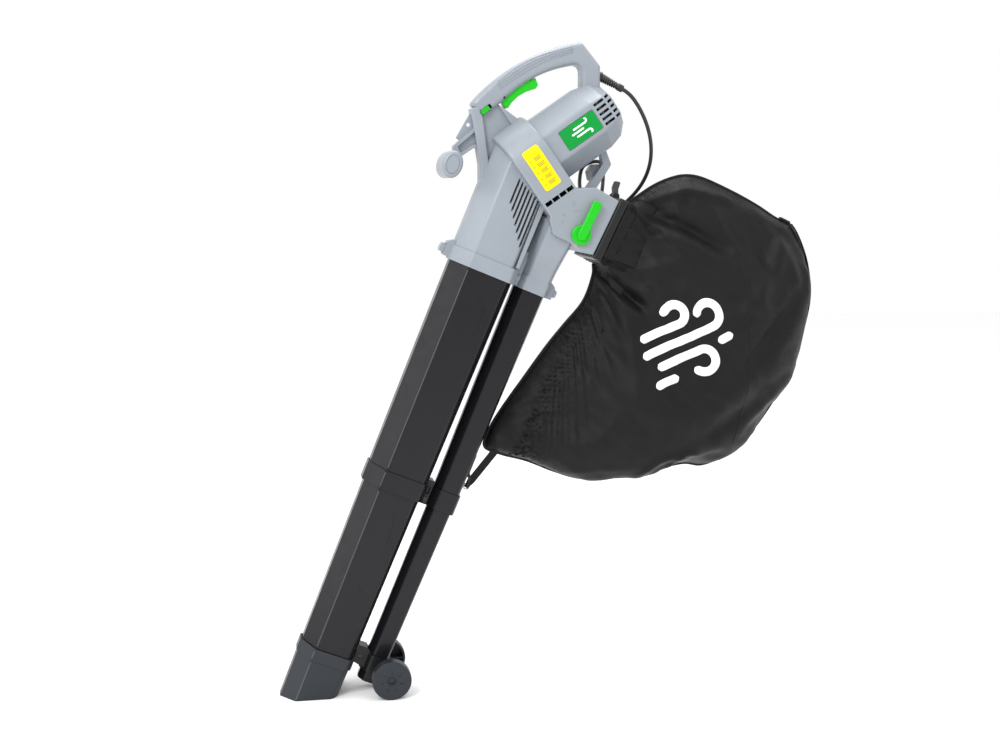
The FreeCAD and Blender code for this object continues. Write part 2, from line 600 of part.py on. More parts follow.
def motor():
    plate_disc = turned([(11.2, 55.6), (66.5, 55.6), (66.5, 58.6), (17, 58.6), (15, 67), (11.2, 67)])
    posts = [cylinder(3.5, V(49 * c, 49 * s, 58.6), Z_AXIS, 29.4)
             for c, s in ((math.cos(a), math.sin(a)) for a in (math.radians(45), math.radians(225)))]
    parts["motor_plate"] = placed(fused([plate_disc] + posts), MOTOR)
    parts["stator"] = placed(turned([(27, 88), (47, 88), (47, 138), (27, 138)]), MOTOR)
    coils = [turned([(29, z), (44, z), (44, z + 6.5), (29, z + 6.5)]) for z in (81.3, 138.2)]
    parts["field_coils"] = placed(Part.makeCompound(coils), MOTOR)
    parts["front_bearing"] = placed(turned([(SHAFT_R + SHAFT_FIT, 58.7), (11.2, 58.7), (11.2, 66.8),
                                            (SHAFT_R + SHAFT_FIT, 66.8)]), MOTOR)
    parts["rear_bearing"] = placed(turned([(SHAFT_R + SHAFT_FIT, 165.5), (11.2, 165.5), (11.2, 176.5),
                                           (SHAFT_R + SHAFT_FIT, 176.5)]), MOTOR)
    holders = [box(-6, 6, a, b, 148, 158) for a, b in ((22, 40), (-40, -22))]
    bores = [box(-3.2, 3.2, a, b, 150, 156) for a, b in ((21, 41), (-41, -21))]
    parts["brush_holders"] = placed(Part.makeCompound([h.cut(c) for h, c in zip(holders, bores)]), MOTOR)
    brushes = [box(-3, 3, a, b, 150.2, 155.8) for a, b in ((13.5, 32), (-32, -13.5))]
    parts["carbon_brushes"] = placed(Part.makeCompound(brushes), MOTOR)

    parts["motor_shaft"] = placed(cylinder(SHAFT_R, V(0, 0, -1.0), Z_AXIS, 178.5), MOTOR)
    parts["armature"] = placed(turned([(SHAFT_R, 88), (26.3, 88), (26.3, 138), (20, 143), (SHAFT_R, 143)]),
                               MOTOR)
    parts["commutator"] = placed(turned([(SHAFT_R, 146), (13, 146), (13, 159), (SHAFT_R, 159)]), MOTOR)
    fan_hub = turned([(SHAFT_R, 69), (10, 69), (10, 72), (43, 72), (43, 74), (SHAFT_R, 74)])
    fan_blade = box(12, 42, -0.8, 0.8, 74, 79.5)
    fan = [fan_hub] + [fan_blade.rotated(V(0, 0, 0), Z_AXIS, 45.0 * i) for i in range(8)]
    parts["cooling_fan"] = placed(fused(fan), MOTOR)
    parts["impeller"] = placed(impeller(), MOTOR)
    blade = plate([(-30, 3.6), (30, 3.6), (30, 6.6), (-30, 6.6)], 0.5, -5, 5)
    parts["shredder_blade"] = placed(blade.cut(cylinder(SHAFT_R, V(0, 0, 0), Z_AXIS, 10)), MOTOR)
    hexagon = [(7.5 * math.cos(math.radians(60 * i)), 7.5 * math.sin(math.radians(60 * i))) for i in range(6)]
    nut = prism(hexagon, 0, 0.5, 3.5).cut(cylinder(SHAFT_R, V(0, 0, -2), Z_AXIS, 10))
    parts["impeller_nut"] = placed(nut, MOTOR)


def impeller():
    """Back disc, hub and straight blades that lean back from the way it turns."""
    body = turned([(SHAFT_R, 6.7), (11, 6.7), (14, 30), (16, 44), (IMPELLER_R, 44), (IMPELLER_R, 46.5),
                   (SHAFT_R, 46.5)])
    blade = box(12, IMPELLER_R - 1, -1.1, 1.1, 12, 44.5).cut(
        plate([(10, 5), (30, 5), (30, 12), (12, 24)], 0, -5, 5))
    blade = blade.rotated(V(14, 0, 0), Z_AXIS, 24)
    blades = [blade.rotated(V(0, 0, 0), Z_AXIS, 360.0 / BLADES * i) for i in range(BLADES)]
    return fused([body] + blades)


# ---------------------------------------------------------------- diverter between bag and blow duct
DIVERTER_P, DIVERTER_Q = 122.5, 117.0
DIVERTER_TURN = 86.0  # rest direction of lever and flap, up from across the tubes
FLAP_REACH = 58.0


def turned_in_tube(shape, angle=DIVERTER_TURN):
    """From the diverter's own frame (pivot at 0, pointing along X) into place."""
    own = FreeCAD.Placement(V(DIVERTER_P, 0, DIVERTER_Q), FreeCAD.Rotation(Y_AXIS, -angle))
    return placed(shape, TUBE.multiply(own))


def diverter():
    face = -BODY_Y
    base = cylinder(16.2, V(0, face - 7.5, 0), Y_AXIS, 7.0)
    base = base.makeFillet(1.5, [e for e in base.Edges if e.BoundBox.YMax < face - 7.4])
    arm = plate([(-8.2, -7.5), (40, -7.2), (59, -8.4), (60, 0), (59, 8.4), (40, 7.2), (-8.2, 7.5)],
                [7.2, 1, 3, 1, 3, 1, 7.2], face - 14, face - 6.5)
    arm = arm.makeFillet(1.8, [e for e in arm.Edges if e.BoundBox.YMax < face - 13.9])
    lever = base.fuse(arm).removeSplitter().cut(cylinder(SHAFT_R, V(0, face - 8, 0), Y_AXIS, 10))
    parts["diverter_lever"] = turned_in_tube(lever)
    parts["diverter_shaft"] = turned_in_tube(cylinder(SHAFT_R, V(0, face - 6, 0), Y_AXIS, 2 * BODY_Y + 5))
    hub = cylinder(6.5, V(0, -62, 0), Y_AXIS, 124)
    leaf = box(5, FLAP_REACH, -62, 62, -1.3, 1.3)
    flap = hub.fuse(leaf).removeSplitter().cut(cylinder(SHAFT_R, V(0, -70, 0), Y_AXIS, 140))
    parts["diverter_flap"] = turned_in_tube(flap)


def diverter_bores():
    reach = cylinder(SHAFT_R + SHAFT_FIT, V(DIVERTER_P, -BODY_Y - 2, DIVERTER_Q), Y_AXIS, 2 * BODY_Y + 1.3)
    return placed(reach, TUBE)


# ---------------------------------------------------------------- tube latches
def latches():
    left = plate([(-76.3, 8), (-73, 6.4), (-65, 6.4), (-65, 21.6), (-74.5, 21.6), (-76.3, 17)],
                 [1, 2, 0.5, 0.5, 2, 1], -11.6, 11.6)
    left = left.fuse(cylinder(3.0, V(-65.5, 0, 14), V(1, 0, 0), 10.0))
    parts["suction_latch"] = placed(left.removeSplitter(), TUBE)
    right = plate([(126, 5.4), (134, 5.4), (136.6, 8), (136.6, 15), (134, 18.6), (126, 18.6)],
                  [0.5, 2, 1, 1, 2, 0.5], -9.6, 9.6)
    right = right.fuse(cylinder(3.0, V(126.5, 0, 12), V(-1, 0, 0), 8.0))
    parts["blow_latch"] = placed(right.removeSplitter(), TUBE)
    switch = box(56, 62, -5.5, 5.5, 31, 45)
    parts["tube_safety_switch"] = placed(switch, TUBE)
    springs = [ring(5.0, 3.6, V(p, 0, q), V(1, 0, 0), 4.2) for p, q in ((-64.8, 14), (121.7, 12))]
    parts["latch_springs"] = placed(Part.makeCompound(springs), TUBE)


def safety_pocket():
    return placed(box(55.8, 62.2, -5.7, 5.7, 30.8, 45.2), TUBE)


# ---------------------------------------------------------------- bag and what holds it
COLLAR_OUT = [(155.8, 90.5), (161.9, 198), (177, 197), (171, 89.5)]
COLLAR_IN = [(154, 97.5), (160, 190.5), (180, 189.5), (173, 96.5)]
BAG_OUTLINE = [(83, -331), (82, -352), (66, -394), (34, -432), (4, -468), (-36, -522), (-78, -580), (-99, -616),
               (-103, -641), (-72, -655), (-30, -667), (20, -688), (66, -702), (120, -703), (174, -701),
               (216, -688), (252, -682), (281, -686), (312, -677), (345, -656), (376, -623), (406, -581),
               (446, -514), (464, -442), (472, -397), (470, -358), (459, -313), (436, -268), (408, -255),
               (369, -231), (322, -207), (272, -186), (240, -182), (210, -189), (182, -202), (150, -223),
               (127, -237)]
BAG_MIDDLE = (245.0, -455.0)
BAG_HALF = 92.0  # half thickness of the filled-out bag


def bag_form(shrink):
    """Lens-shaped bag: the outline in the middle, drawn in towards both faces."""
    cx, cz = BAG_MIDDLE

    def layer(share, y):
        share = share * (1 - shrink / 220.0)
        return Part.makePolygon([V(cx + (x - cx) * share, y, cz + (z - cz) * share)
                                 for x, z in BAG_OUTLINE + BAG_OUTLINE[:1]])

    half = BAG_HALF - shrink
    steps = [layer(0.42, -half), layer(0.72, -0.8 * half), layer(1.0, -0.36 * half)]
    steps += [layer(1.0, 0.36 * half), layer(0.72, 0.8 * half), layer(0.42, half)]
    return Part.makeLoft(steps, True, True)


def bag():
    """Filled-out bag, closed against the collar."""
    collar_room = placed(plate([(100, 76), (160, 260), (180.5, 260), (172.2, 76)], 0, -120, 120), TUBE)
    outer = largest(bag_form(0).cut(collar_room))
    inner_room = placed(plate([(60, 70), (120, 300), (200, 300), (180, 70)], 0, -120, 120), TUBE)
    inner = largest(bag_form(4.0).cut(inner_room))
    parts["bag"] = outer.cut(inner)
    slider = box(-10, 10, -4.5, 4.5, 0.4, 4.4)
    slider = slider.makeFillet(1.2, slider.Edges)
    along = FreeCAD.Rotation(Y_AXIS, 24.9)
    parts["bag_zip_slider"] = placed(slider, FreeCAD.Placement(V(422, 0, -261.5), along))


def bag_collar():
    outer = plate(COLLAR_OUT, 1.0, -71, 71)
    outer = outer.makeFillet(3.0, edges_on_sides(outer, 71))
    shape = outer.cut(plate(COLLAR_IN, 0.5, -62.5, 62.5))
    ears = [plate([(158, 196), (176, 196), (171, 208), (163, 208)], [0.5, 0.5, 3, 3], a, b)
            for a, b in ((-11.5, -8), (8, 11.5))]
    pin = cylinder(1.8, V(167, -11, 204), Y_AXIS, 22)
    parts["bag_collar"] = placed(fused([shape] + ears + [pin]), TUBE)
    lever = plate([(163.0, 200.5), (171.0, 200.5), (170.5, 207), (167, 215), (166, 227.5), (158.0, 226.5),
                   (158.0, 216), (162, 208)], [1.5, 1.5, 2, 4, 2, 2, 3, 4], -7.6, 7.6)
    lever = lever.cut(cylinder(1.8 + SHAFT_FIT, V(167, -12, 204), Y_AXIS, 24))
    for i in range(4):
        groove = box(156, 159.0, -9, 9, 216.5 + 2.6 * i, 217.5 + 2.6 * i)
        lever = lever.cut(groove)
    parts["bag_clip"] = placed(lever, TUBE)


def bag_strap():
    lug = plate([(111, -290), (116, -290), (116, -322), (122.5, -332), (122.5, -348.6), (119.5, -348.6),
                 (119.5, -334), (111, -326)], [1, 1, 3, 3, 1.4, 1.4, 3, 1], -7, 7)
    lug = lug.cut(cylinder(3.0, V(117, 0, -342.5), V(1, 0, 0), 8))
    tube_space = facet_loft([(0.0, BLOW_TOP), (JOINT_Q - SOCKET, BLOW_JOINT)], 0.05, 5.0)
    parts["strap_lug"] = placed(largest(lug.cut(tube_space)), TUBE)
    link = Part.makeTorus(5.0, 1.3).rotated(V(0, 0, 0), V(1, 0, 0), 90).translated(V(121, 0, -347.0))
    parts["strap_hook"] = placed(link, TUBE)
    end = in_tube(129.2, -342.0)
    top = V(-98.0, 0, -644.0)
    along = (top - end).normalize()
    across = V(-along.z, 0, along.x)
    corners = [end - across, end + across, top + across, top - across]
    parts["bag_strap"] = plate([(c.x, c.z) for c in corners], 0, -6.0, 6.0)


# ---------------------------------------------------------------- mains lead
RELIEF_FOOT = V(90.4, 0, -20.4)
RELIEF_TIP = V(130.8, 0, -41.0)
ROUTE = [(131.3, 0, -41.3), (144, 0, -47.8), (163, 3, -72), (179, 9, -102), (189, 19, -134), (191, 33, -166),
         (183, 48, -196), (166, 64, -222), (145, 80, -242), (121, 88, -251), (98, 92, -243), (83, 91, -218),
         (74, 66, -189), (74, 39, -163), (109, 37, -157), (115, 58, -183), (121, 86, -204), (121, 102, -230),
         (120, 106, -256)]
PLUG_LENGTH = 42.0


def lead_path(points, diameter):
    """Straight runs joined by the largest tangent arcs; prints each arc's radius."""
    nodes = [V(*p) for p in points]
    edges, start = [], nodes[0]
    for before, here, after in zip(nodes, nodes[1:], nodes[2:]):
        back = (before - here).normalize()
        on = (after - here).normalize()
        half = back.getAngle(on) / 2
        reach = 0.45 * min((before - here).Length, (after - here).Length)
        radius = reach * math.tan(half)
        middle = here + (back + on).normalize() * (radius / math.sin(half) - radius)
        turn = 180 - 2 * math.degrees(half)
        print("radius %.1f mm = %.1f diameters, turn %.0f" % (radius, radius / diameter, turn))
        edges.append(Part.LineSegment(start, here + back * reach).toShape())
        edges.append(Part.Arc(here + back * reach, middle, here + on * reach).toShape())
        start = here + on * reach
    edges.append(Part.LineSegment(start, nodes[-1]).toShape())
    return Part.Wire(edges)


def lead_tube(points, diameter):
    path = lead_path(points, diameter)
    along = (V(*points[1]) - V(*points[0])).normalize()
    circle = Part.Wire([Part.makeCircle(diameter / 2, V(*points[0]), along)])
    tube = path.makePipeShell([circle], True, False)
    expected = math.pi * diameter ** 2 / 4 * path.Length
    print("length %.0f mm, volume %.0f of %.0f mm3" % (path.Length, tube.Volume, expected))
    return tube


def mains_lead():
    along = (RELIEF_TIP - RELIEF_FOOT).normalize()
    length = (RELIEF_TIP - RELIEF_FOOT).Length
    sleeve = Part.makeCone(7.2, 4.6, length - 4, RELIEF_FOOT + along * 4.0, along)
    root = cylinder(6.4, RELIEF_FOOT - along * 14.0, along, 18.5)
    flange = cylinder(8.6, RELIEF_FOOT - along * 14.0, along, 3.0)
    parts["strain_relief"] = fused([sleeve, root, flange])
    parts["mains_lead"] = lead_tube(ROUTE, CORD_D)
    last, before = V(*ROUTE[-1]), V(*ROUTE[-2])
    down = (last - before).normalize()
    frame = FreeCAD.Placement(last, FreeCAD.Rotation(Z_AXIS, down))
    neck = Part.makeCone(4.8, 8.0, 14.0)
    body = Part.makeLoft([Part.Wire([Part.makeCircle(r, V(0, 0, z))]) for r, z in
                          ((8.0, 13.9), (14.5, 22.0), (17.0, 34.0), (17.0, PLUG_LENGTH))], True, False)
    parts["plug_body"] = placed(neck.fuse(body).removeSplitter(), frame)
    pins = [cylinder(2.4, V(x, 0, PLUG_LENGTH), Z_AXIS, 19.0) for x in (-9.5, 9.5)]
    parts["plug_pins"] = placed(Part.makeCompound(pins), frame)


def relief_bore():
    along = (RELIEF_TIP - RELIEF_FOOT).normalize()
    hole = cylinder(6.5, RELIEF_FOOT - along * 20.0, along, 26.0)
    seat = cylinder(8.8, RELIEF_FOOT - along * 14.4, along, 3.8)
    return hole.fuse(seat)


def inner_wiring():
    route = [(-21, 0, -2.5), (8, 0, 7), (38, 0, 14), (62, 0, 11), (70, 0, -5), (68.5, 0, -24.8)]
    parts["inner_wiring"] = lead_tube(route, 3.0)


# ---------------------------------------------------------------- fasteners and stickers
SCREWS = [in_tube(141, 182), in_tube(64, 132), V(-114.5, 0, -108), V(-103.5, 0, -150), V(80, 0, -53),
          in_motor(52, 100), in_motor(-52, 110)]
SCREW_LENGTH = 24.0


def screw_bosses():
    return [cylinder(4.4, V(s.x, -15, s.z), Y_AXIS, 30) for s in SCREWS]


def screw_holes():
    holes = []
    for s in SCREWS:
        holes.append(cylinder(SCREW_R, V(s.x, 14 - SCREW_LENGTH - 0.1, s.z), Y_AXIS, SCREW_LENGTH + 0.1))
        holes.append(cylinder(4.2, V(s.x, 14, s.z), Y_AXIS, 76.0))
    return holes


def fasteners():
    screws = []
    for s in SCREWS:
        head = cylinder(3.6, V(s.x, 14, s.z), Y_AXIS, 2.5)
        head = head.cut(box(s.x - 0.5, s.x + 0.5, 15.5, 17, s.z - 2.6, s.z + 2.6))
        head = head.cut(box(s.x - 2.6, s.x + 2.6, 15.5, 17, s.z - 0.5, s.z + 0.5))
        screws.append(head.fuse(cylinder(SCREW_R, V(s.x, 14 - SCREW_LENGTH, s.z), Y_AXIS, SCREW_LENGTH)))
    parts["housing_screws"] = Part.makeCompound(screws)


def sticker():
    """Plain sticker on the near side of the drum, from its flat side round onto the arch."""
    skin = cylinder(DRUM_R + 0.35, V(0, 0, 10), Z_AXIS, 45).cut(cylinder(DRUM_R + 0.05, V(0, 0, 9), Z_AXIS, 47))
    skin = skin.common(box(-80, 0, -80, 0, 0, 70))
    flat_patch = box(0, 60, -BODY_Y - 0.35, -BODY_Y - 0.05, 10, 55)
    outline = plate([(-24, 17), (49, 17), (49, 47), (-24, 47)], 4.0, -80, -50)
    parts["sticker"] = placed(largest(skin.fuse(flat_patch).common(outline)), MOTOR)


# ---------------------------------------------------------------- shells
def housing():
    outside = fused([duct_form(0), blow_form(0), outlet_form(0), drum_form(0), barrel_form(0)])
    outside = outside.fuse(collars()).fuse(post_form(0)).fuse(grip_form(0))
    cavity = fused([duct_form(WALL), blow_form(WALL), outlet_form(WALL), drum_form(WALL), barrel_form(WALL)])
    handle_space = grip_form(4.0).fuse(post_form(5.0))
    eye = placed(cylinder(44, V(0, 0, -6), Z_AXIS, 12), MOTOR)
    shell = outside.cut(cavity).cut(eye).cut(handle_space)
    shell = fused([shell, internal_walls()] + screw_bosses())
    cutters = socket_spaces() + latch_pockets() + inlet_louvres() + drum_slots() + motor_vents()
    cutters += badge_recesses() + screw_holes()
    cutters += [trigger_room(), lock_slot(), relief_bore(), diverter_bores(), safety_pocket()]
    cutters.append(cylinder(2.0 + SHAFT_FIT, TRIGGER_PIVOT + V(0, -16, 0), Y_AXIS, 32))
    cutters.append(cylinder(4.6, TRIGGER_PIVOT + V(0, 9, 0), Y_AXIS, 4.5))
    shell = cut_by(shell, cutters)
    parts["housing_left"] = largest(shell.common(box(-400, 500, -200, 0, -900, 400)))
    parts["housing_right"] = largest(shell.common(box(-400, 500, 0, 200, -900, 400)))


housing()
suction_tubes()
blow_tubes()
nozzle()
tube_clamps()
running_gear()
badges()
sticker()
front_handle()
cord_hook()
controls()
motor()
diverter()
latches()
bag_collar()
bag()
bag_strap()
mains_lead()
inner_wiring()
fasteners()

os.makedirs("parts", exist_ok=True)
for name, shape in parts.items():
    shape.exportStep("parts/%s.step" % name)
    if not shape.isValid():
        print("INVALID", name)
print(len(parts), "nodes")
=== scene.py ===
"""Looks of a corded leaf blower with a collecting bag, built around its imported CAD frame. Metres."""
import bpy
import json
import math
import numpy as np
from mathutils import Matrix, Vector, geometry, noise
from mathutils.bvhtree import BVHTree


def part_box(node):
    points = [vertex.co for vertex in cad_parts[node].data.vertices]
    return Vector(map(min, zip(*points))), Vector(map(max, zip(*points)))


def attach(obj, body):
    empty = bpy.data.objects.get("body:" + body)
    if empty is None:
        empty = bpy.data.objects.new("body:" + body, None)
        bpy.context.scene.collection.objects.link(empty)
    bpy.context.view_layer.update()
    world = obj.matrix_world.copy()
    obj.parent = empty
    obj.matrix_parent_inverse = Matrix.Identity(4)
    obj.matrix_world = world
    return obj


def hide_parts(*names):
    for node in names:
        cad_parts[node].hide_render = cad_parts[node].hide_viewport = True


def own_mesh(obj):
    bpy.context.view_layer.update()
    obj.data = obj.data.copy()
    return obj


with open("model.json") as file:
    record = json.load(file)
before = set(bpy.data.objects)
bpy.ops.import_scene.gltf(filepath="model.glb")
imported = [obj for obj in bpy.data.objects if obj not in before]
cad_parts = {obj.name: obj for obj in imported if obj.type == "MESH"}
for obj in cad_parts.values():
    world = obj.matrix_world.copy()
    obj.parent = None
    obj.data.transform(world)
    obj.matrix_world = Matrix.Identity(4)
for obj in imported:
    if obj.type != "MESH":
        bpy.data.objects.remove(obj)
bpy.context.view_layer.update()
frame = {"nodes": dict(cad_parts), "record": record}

MM = 0.001
TUBE_HEAD = Vector((-112.2, 0, -340.9)) * MM  # centre of the suction socket's lower edge
TUBE_LEAN = math.radians(22.6)
MOTOR_HEAD = Vector((-53.1, 0, -179.8)) * MM  # motor axis at the drum's front wall
MOTOR_RISE = math.radians(34.5)
GROUND_Z = -1.055
SIDES = (-1, 1)  # near side, towards -Y, and far side


def in_tube(p, q):
    """Point in the middle plane for p across the tubes and q along them, both in millimetres."""
    x = p * math.cos(TUBE_LEAN) + q * math.sin(TUBE_LEAN)
    z = q * math.cos(TUBE_LEAN) - p * math.sin(TUBE_LEAN)
    return TUBE_HEAD + Vector((x, 0, z)) * MM


def in_motor(x, z, y=0.0):
    """Point for x down across the motor axis, z along it and depth y, all in millimetres."""
    across = x * math.sin(MOTOR_RISE) + z * math.cos(MOTOR_RISE)
    up = z * math.sin(MOTOR_RISE) - x * math.cos(MOTOR_RISE)
    return MOTOR_HEAD + Vector((across, y, up)) * MM


def new_object(name, data):
    """An object in the scene with this data."""
    made = bpy.data.objects.new(name, data)
    bpy.context.scene.collection.objects.link(made)
    return made


# ---- camera, floor and light
CAMERA_PLACE = (-0.4462, -2.1451, -0.1997)
CAMERA_TURN, CAMERA_RISE = math.radians(-9.8), math.radians(8.3)
FLOOR_HALF = 6.0
WHITE, FLOOR_WHITE = (1.0, 1.0, 1.0, 1), (0.97, 0.97, 0.97, 1)


def make_camera():
    turn, rise = CAMERA_TURN, CAMERA_RISE
    back = Vector((math.sin(turn) * math.cos(rise), -math.cos(turn) * math.cos(rise), math.sin(rise)))
    data = bpy.data.cameras.new("camera")
    data.lens = 46.8
    data.sensor_width = 36.0
    camera = new_object("camera", data)
    camera.location = CAMERA_PLACE
    camera.rotation_euler = back.to_track_quat("Z", "Y").to_euler()
    bpy.context.scene.camera = camera
    bpy.context.scene.view_settings.view_transform = "Standard"


def area_light(name, place, aim, size, power):
    """Soft rectangular lamp at a place, turned to its aim, with its size in metres and power in watts."""
    data = bpy.data.lights.new(name, "AREA")
    data.shape = "RECTANGLE"
    data.size, data.size_y = size
    data.energy = power
    lamp = new_object(name, data)
    lamp.location = place
    lamp.rotation_euler = (Vector(place) - Vector(aim)).to_track_quat("Z", "Y").to_euler()


def make_studio():
    world = bpy.data.worlds.new("studio")
    bpy.context.scene.world = world
    world.use_nodes = True
    background = world.node_tree.nodes["Background"]
    background.inputs["Color"].default_value = WHITE
    background.inputs["Strength"].default_value = 1.0
    area_light("key", (-1.6, -1.9, 1.3), (0, 0, -0.4), (1.2, 1.2), 52)
    area_light("fill", (2.2, -1.6, 0.4), (0.1, 0, -0.4), (1.8, 1.8), 9)
    area_light("edge", (-2.3, 0.1, 0.1), (-0.2, 0, -0.6), (0.8, 1.8), 6)
    area_light("top", (0.1, 0.3, 1.6), (0, 0, -0.4), (1.4, 1.4), 34)
    mesh = bpy.data.meshes.new("floor")
    corners = [(x * FLOOR_HALF, y * FLOOR_HALF, GROUND_Z) for x, y in ((-1, -1), (1, -1), (1, 1), (-1, 1))]
    mesh.from_pydata(corners, [], [(0, 1, 2, 3)])
    floor = new_object("floor", mesh)
    paint = bpy.data.materials.new("floor_paint")
    paint.use_nodes = True
    shader = paint.node_tree.nodes["Principled BSDF"]
    shader.inputs["Base Color"].default_value = FLOOR_WHITE
    shader.inputs["Roughness"].default_value = 0.8
    mesh.materials.append(paint)


# ---- node helpers
class Shader:
    """A material's node tree, with short calls for the nodes used here."""

    def __init__(self, name):
        self.material = bpy.data.materials.new(name)
        self.material.use_nodes = True
        self.tree = self.material.node_tree
        self.principled = self.tree.nodes["Principled BSDF"]
        self.place = self.node("ShaderNodeTexCoord").outputs["Object"]

    def node(self, kind, inputs=None, **settings):
        made = self.tree.nodes.new(kind)
        for key, value in settings.items():
            setattr(made, key, value)
        for key, value in (inputs or {}).items():
            self.feed(made.inputs[key], value)
        return made

    def feed(self, socket, value):
        if isinstance(value, bpy.types.NodeSocket):
            self.tree.links.new(value, socket)
        else:
            socket.default_value = value

    def math(self, operation, a, b=0.0):
        return self.node("ShaderNodeMath", {0: a, 1: b}, operation=operation).outputs[0]

    def scaled(self, scale):
        return self.node("ShaderNodeMapping", {"Vector": self.place, "Scale": scale}).outputs[0]

    def noise(self, scale, detail=4.0, source=None, rough=0.5):
        values = {"Vector": source or self.place, "Scale": scale, "Detail": detail, "Roughness": rough}
        return self.node("ShaderNodeTexNoise", values).outputs["Fac"]

    def ramp(self, value, low, high, start=0.0, end=1.0):
        values = {"Value": value, "From Min": low, "From Max": high, "To Min": start, "To Max": end}
        return self.node("ShaderNodeMapRange", values, clamp=True).outputs[0]

    def blend(self, factor, a, b):
        values = {"Factor": factor, "A": a, "B": b}
        return self.node("ShaderNodeMix", values, data_type="RGBA").outputs["Result"]

    def bump(self, height, strength, distance, normal=None):
        values = {"Height": height, "Strength": strength, "Distance": distance}
        if normal:
            values["Normal"] = normal
        return self.node("ShaderNodeBump", values).outputs["Normal"]

    def set(self, **values):
        for key, value in values.items():
            self.feed(self.principled.inputs[key.replace("_", " ")], value)

    def axes(self):
        return self.node("ShaderNodeSeparateXYZ", {0: self.place}).outputs


def tint(color, factor):
    return tuple(channel * factor for channel in color[:3]) + (1,)


# ---- materials
def moulded(name, color, rough, grain, soft, shine=0.5):
    """Injection-moulded plastic: spark-eroded grain, faint flow marks and edges eased by soft metres."""
    s = Shader(name)
    flow = s.noise(14.0, 3.0)
    grain_height = s.noise(2600.0, 2.0)
    handled = s.noise(45.0, 5.0)
    base = s.blend(s.ramp(flow, 0.3, 0.7), tint(color, 0.95), tint(color, 1.05))
    s.set(Base_Color=base, Roughness=s.ramp(handled, 0.3, 0.7, rough - 0.05, rough + 0.06))
    eased = s.node("ShaderNodeBevel", {"Radius": soft}, samples=4).outputs[0]
    s.set(Normal=s.bump(grain_height, grain, 0.0002, eased), Specular_IOR_Level=shine)
    return s.material


def metal(name, color, rough, streak):
    """Turned or drawn metal with fine streaks."""
    s = Shader(name)
    lines = s.noise(1.0, 6.0, s.scaled(streak))
    s.set(Base_Color=s.blend(lines, tint(color, 0.85), tint(color, 1.1)), Metallic=1.0,
          Roughness=s.ramp(lines, 0.2, 0.8, rough - 0.08, rough + 0.1),
          Normal=s.bump(lines, 0.2, 0.0002))
    return s.material


def woven(name, color, pitch):
    """Plain weave with threads pitch metres apart, as bump and tone, with soft creasing and faint sheen."""
    s = Shader(name)
    x, y, z = s.axes()
    turns = 2 * math.pi / pitch
    warp = s.math("SINE", s.math("MULTIPLY", x, turns))
    weft = s.math("SINE", s.math("MULTIPLY", s.math("ADD", z, y), turns))
    threads = s.math("MULTIPLY", warp, weft)
    worn = s.noise(9.0, 5.0)
    crumple = s.noise(38.0, 6.0, rough=0.6)
    tone = s.math("ADD", s.math("MULTIPLY", threads, 0.22), s.ramp(worn, 0.25, 0.75, 0.25, 0.75))
    s.set(Base_Color=s.blend(tone, tint(color, 0.7), tint(color, 1.45)),
          Roughness=s.ramp(crumple, 0.3, 0.7, 0.40, 0.56), Specular_IOR_Level=0.17,
          Sheen_Weight=0.02, Sheen_Roughness=0.4)
    folds = s.bump(crumple, 0.35, 0.0022)
    s.set(Normal=s.bump(threads, 0.35, 0.00016, folds))
    return s.material


# name: color, roughness, grain, eased edge in metres and shine
PLASTICS = {
    "housing_grey": ((0.236, 0.262, 0.296), 0.34, 0.22, 0.0010, 0.5),
    "tube_black": ((0.0085, 0.0080, 0.0100), 0.25, 0.12, 0.0008, 0.24),
    "hard_black": ((0.009, 0.009, 0.010), 0.36, 0.3, 0.0005, 0.3),
    "slate": ((0.0190, 0.0225, 0.0290), 0.40, 0.3, 0.0007, 0.28),
    "lime": ((0.006, 0.44, 0.006), 0.26, 0.12, 0.0006, 0.36),
    "sticker_yellow": ((0.84, 0.66, 0.0), 0.35, 0.05, 0.0001, 0.2),
    "badge_green": ((0.002, 0.25, 0.035), 0.25, 0.05, 0.0002, 0.2),
    "grey_grip": ((0.035, 0.037, 0.04), 0.5, 0.3, 0.0004, 0.5),
    "cord_rubber": ((0.012, 0.012, 0.013), 0.45, 0.4, 0.0003, 0.5),
    "carbon": ((0.02, 0.02, 0.02), 0.7, 0.5, 0.0002, 0.5),
    "print_white": ((0.86, 0.87, 0.90), 0.55, 0.5, 0.0001, 0.5),
    "print_black": ((0.02, 0.02, 0.02), 0.5, 0.1, 0.0001, 0.5),
    # lighter plastics for the ridge strips: painted highlights along the tube's and nozzle's ridges
    "ridge_tube": ((0.048, 0.048, 0.053), 0.22, 0.1, 0.0004, 0.5),
    "ridge_slate": ((0.050, 0.056, 0.066), 0.30, 0.1, 0.0004, 0.5),
    "zip_black": ((0.02, 0.02, 0.021), 0.35, 0.1, 0.0002, 0.5),
}
STREAKS = (30, 30, 900)
# name: color, roughness and how fine its streaks are along each axis
METALS = {
    "steel": ((0.62, 0.62, 0.64), 0.3, STREAKS),
    "dark_steel": ((0.05, 0.05, 0.055), 0.35, STREAKS),
    "laminations": ((0.25, 0.25, 0.27), 0.45, STREAKS),
    "copper": ((0.72, 0.33, 0.16), 0.35, STREAKS),
    "motor_alloy": ((0.72, 0.73, 0.75), 0.45, (300, 300, 300)),
    "pin_metal": ((0.75, 0.75, 0.77), 0.2, STREAKS),
}
# name: color and thread pitch
FABRICS = {
    "bag_fabric": ((0.0050, 0.0050, 0.0057), 0.00125),
    "webbing": ((0.0055, 0.0055, 0.006), 0.0028),
}


def make_materials():
    made = {}
    for build, finishes in ((moulded, PLASTICS), (metal, METALS), (woven, FABRICS)):
        for name, finish in finishes.items():
            made[name] = build(name, *finish)
    return made


DARK_METAL = ("axle", "axle_clips", "clamp_screws", "trigger_pin")


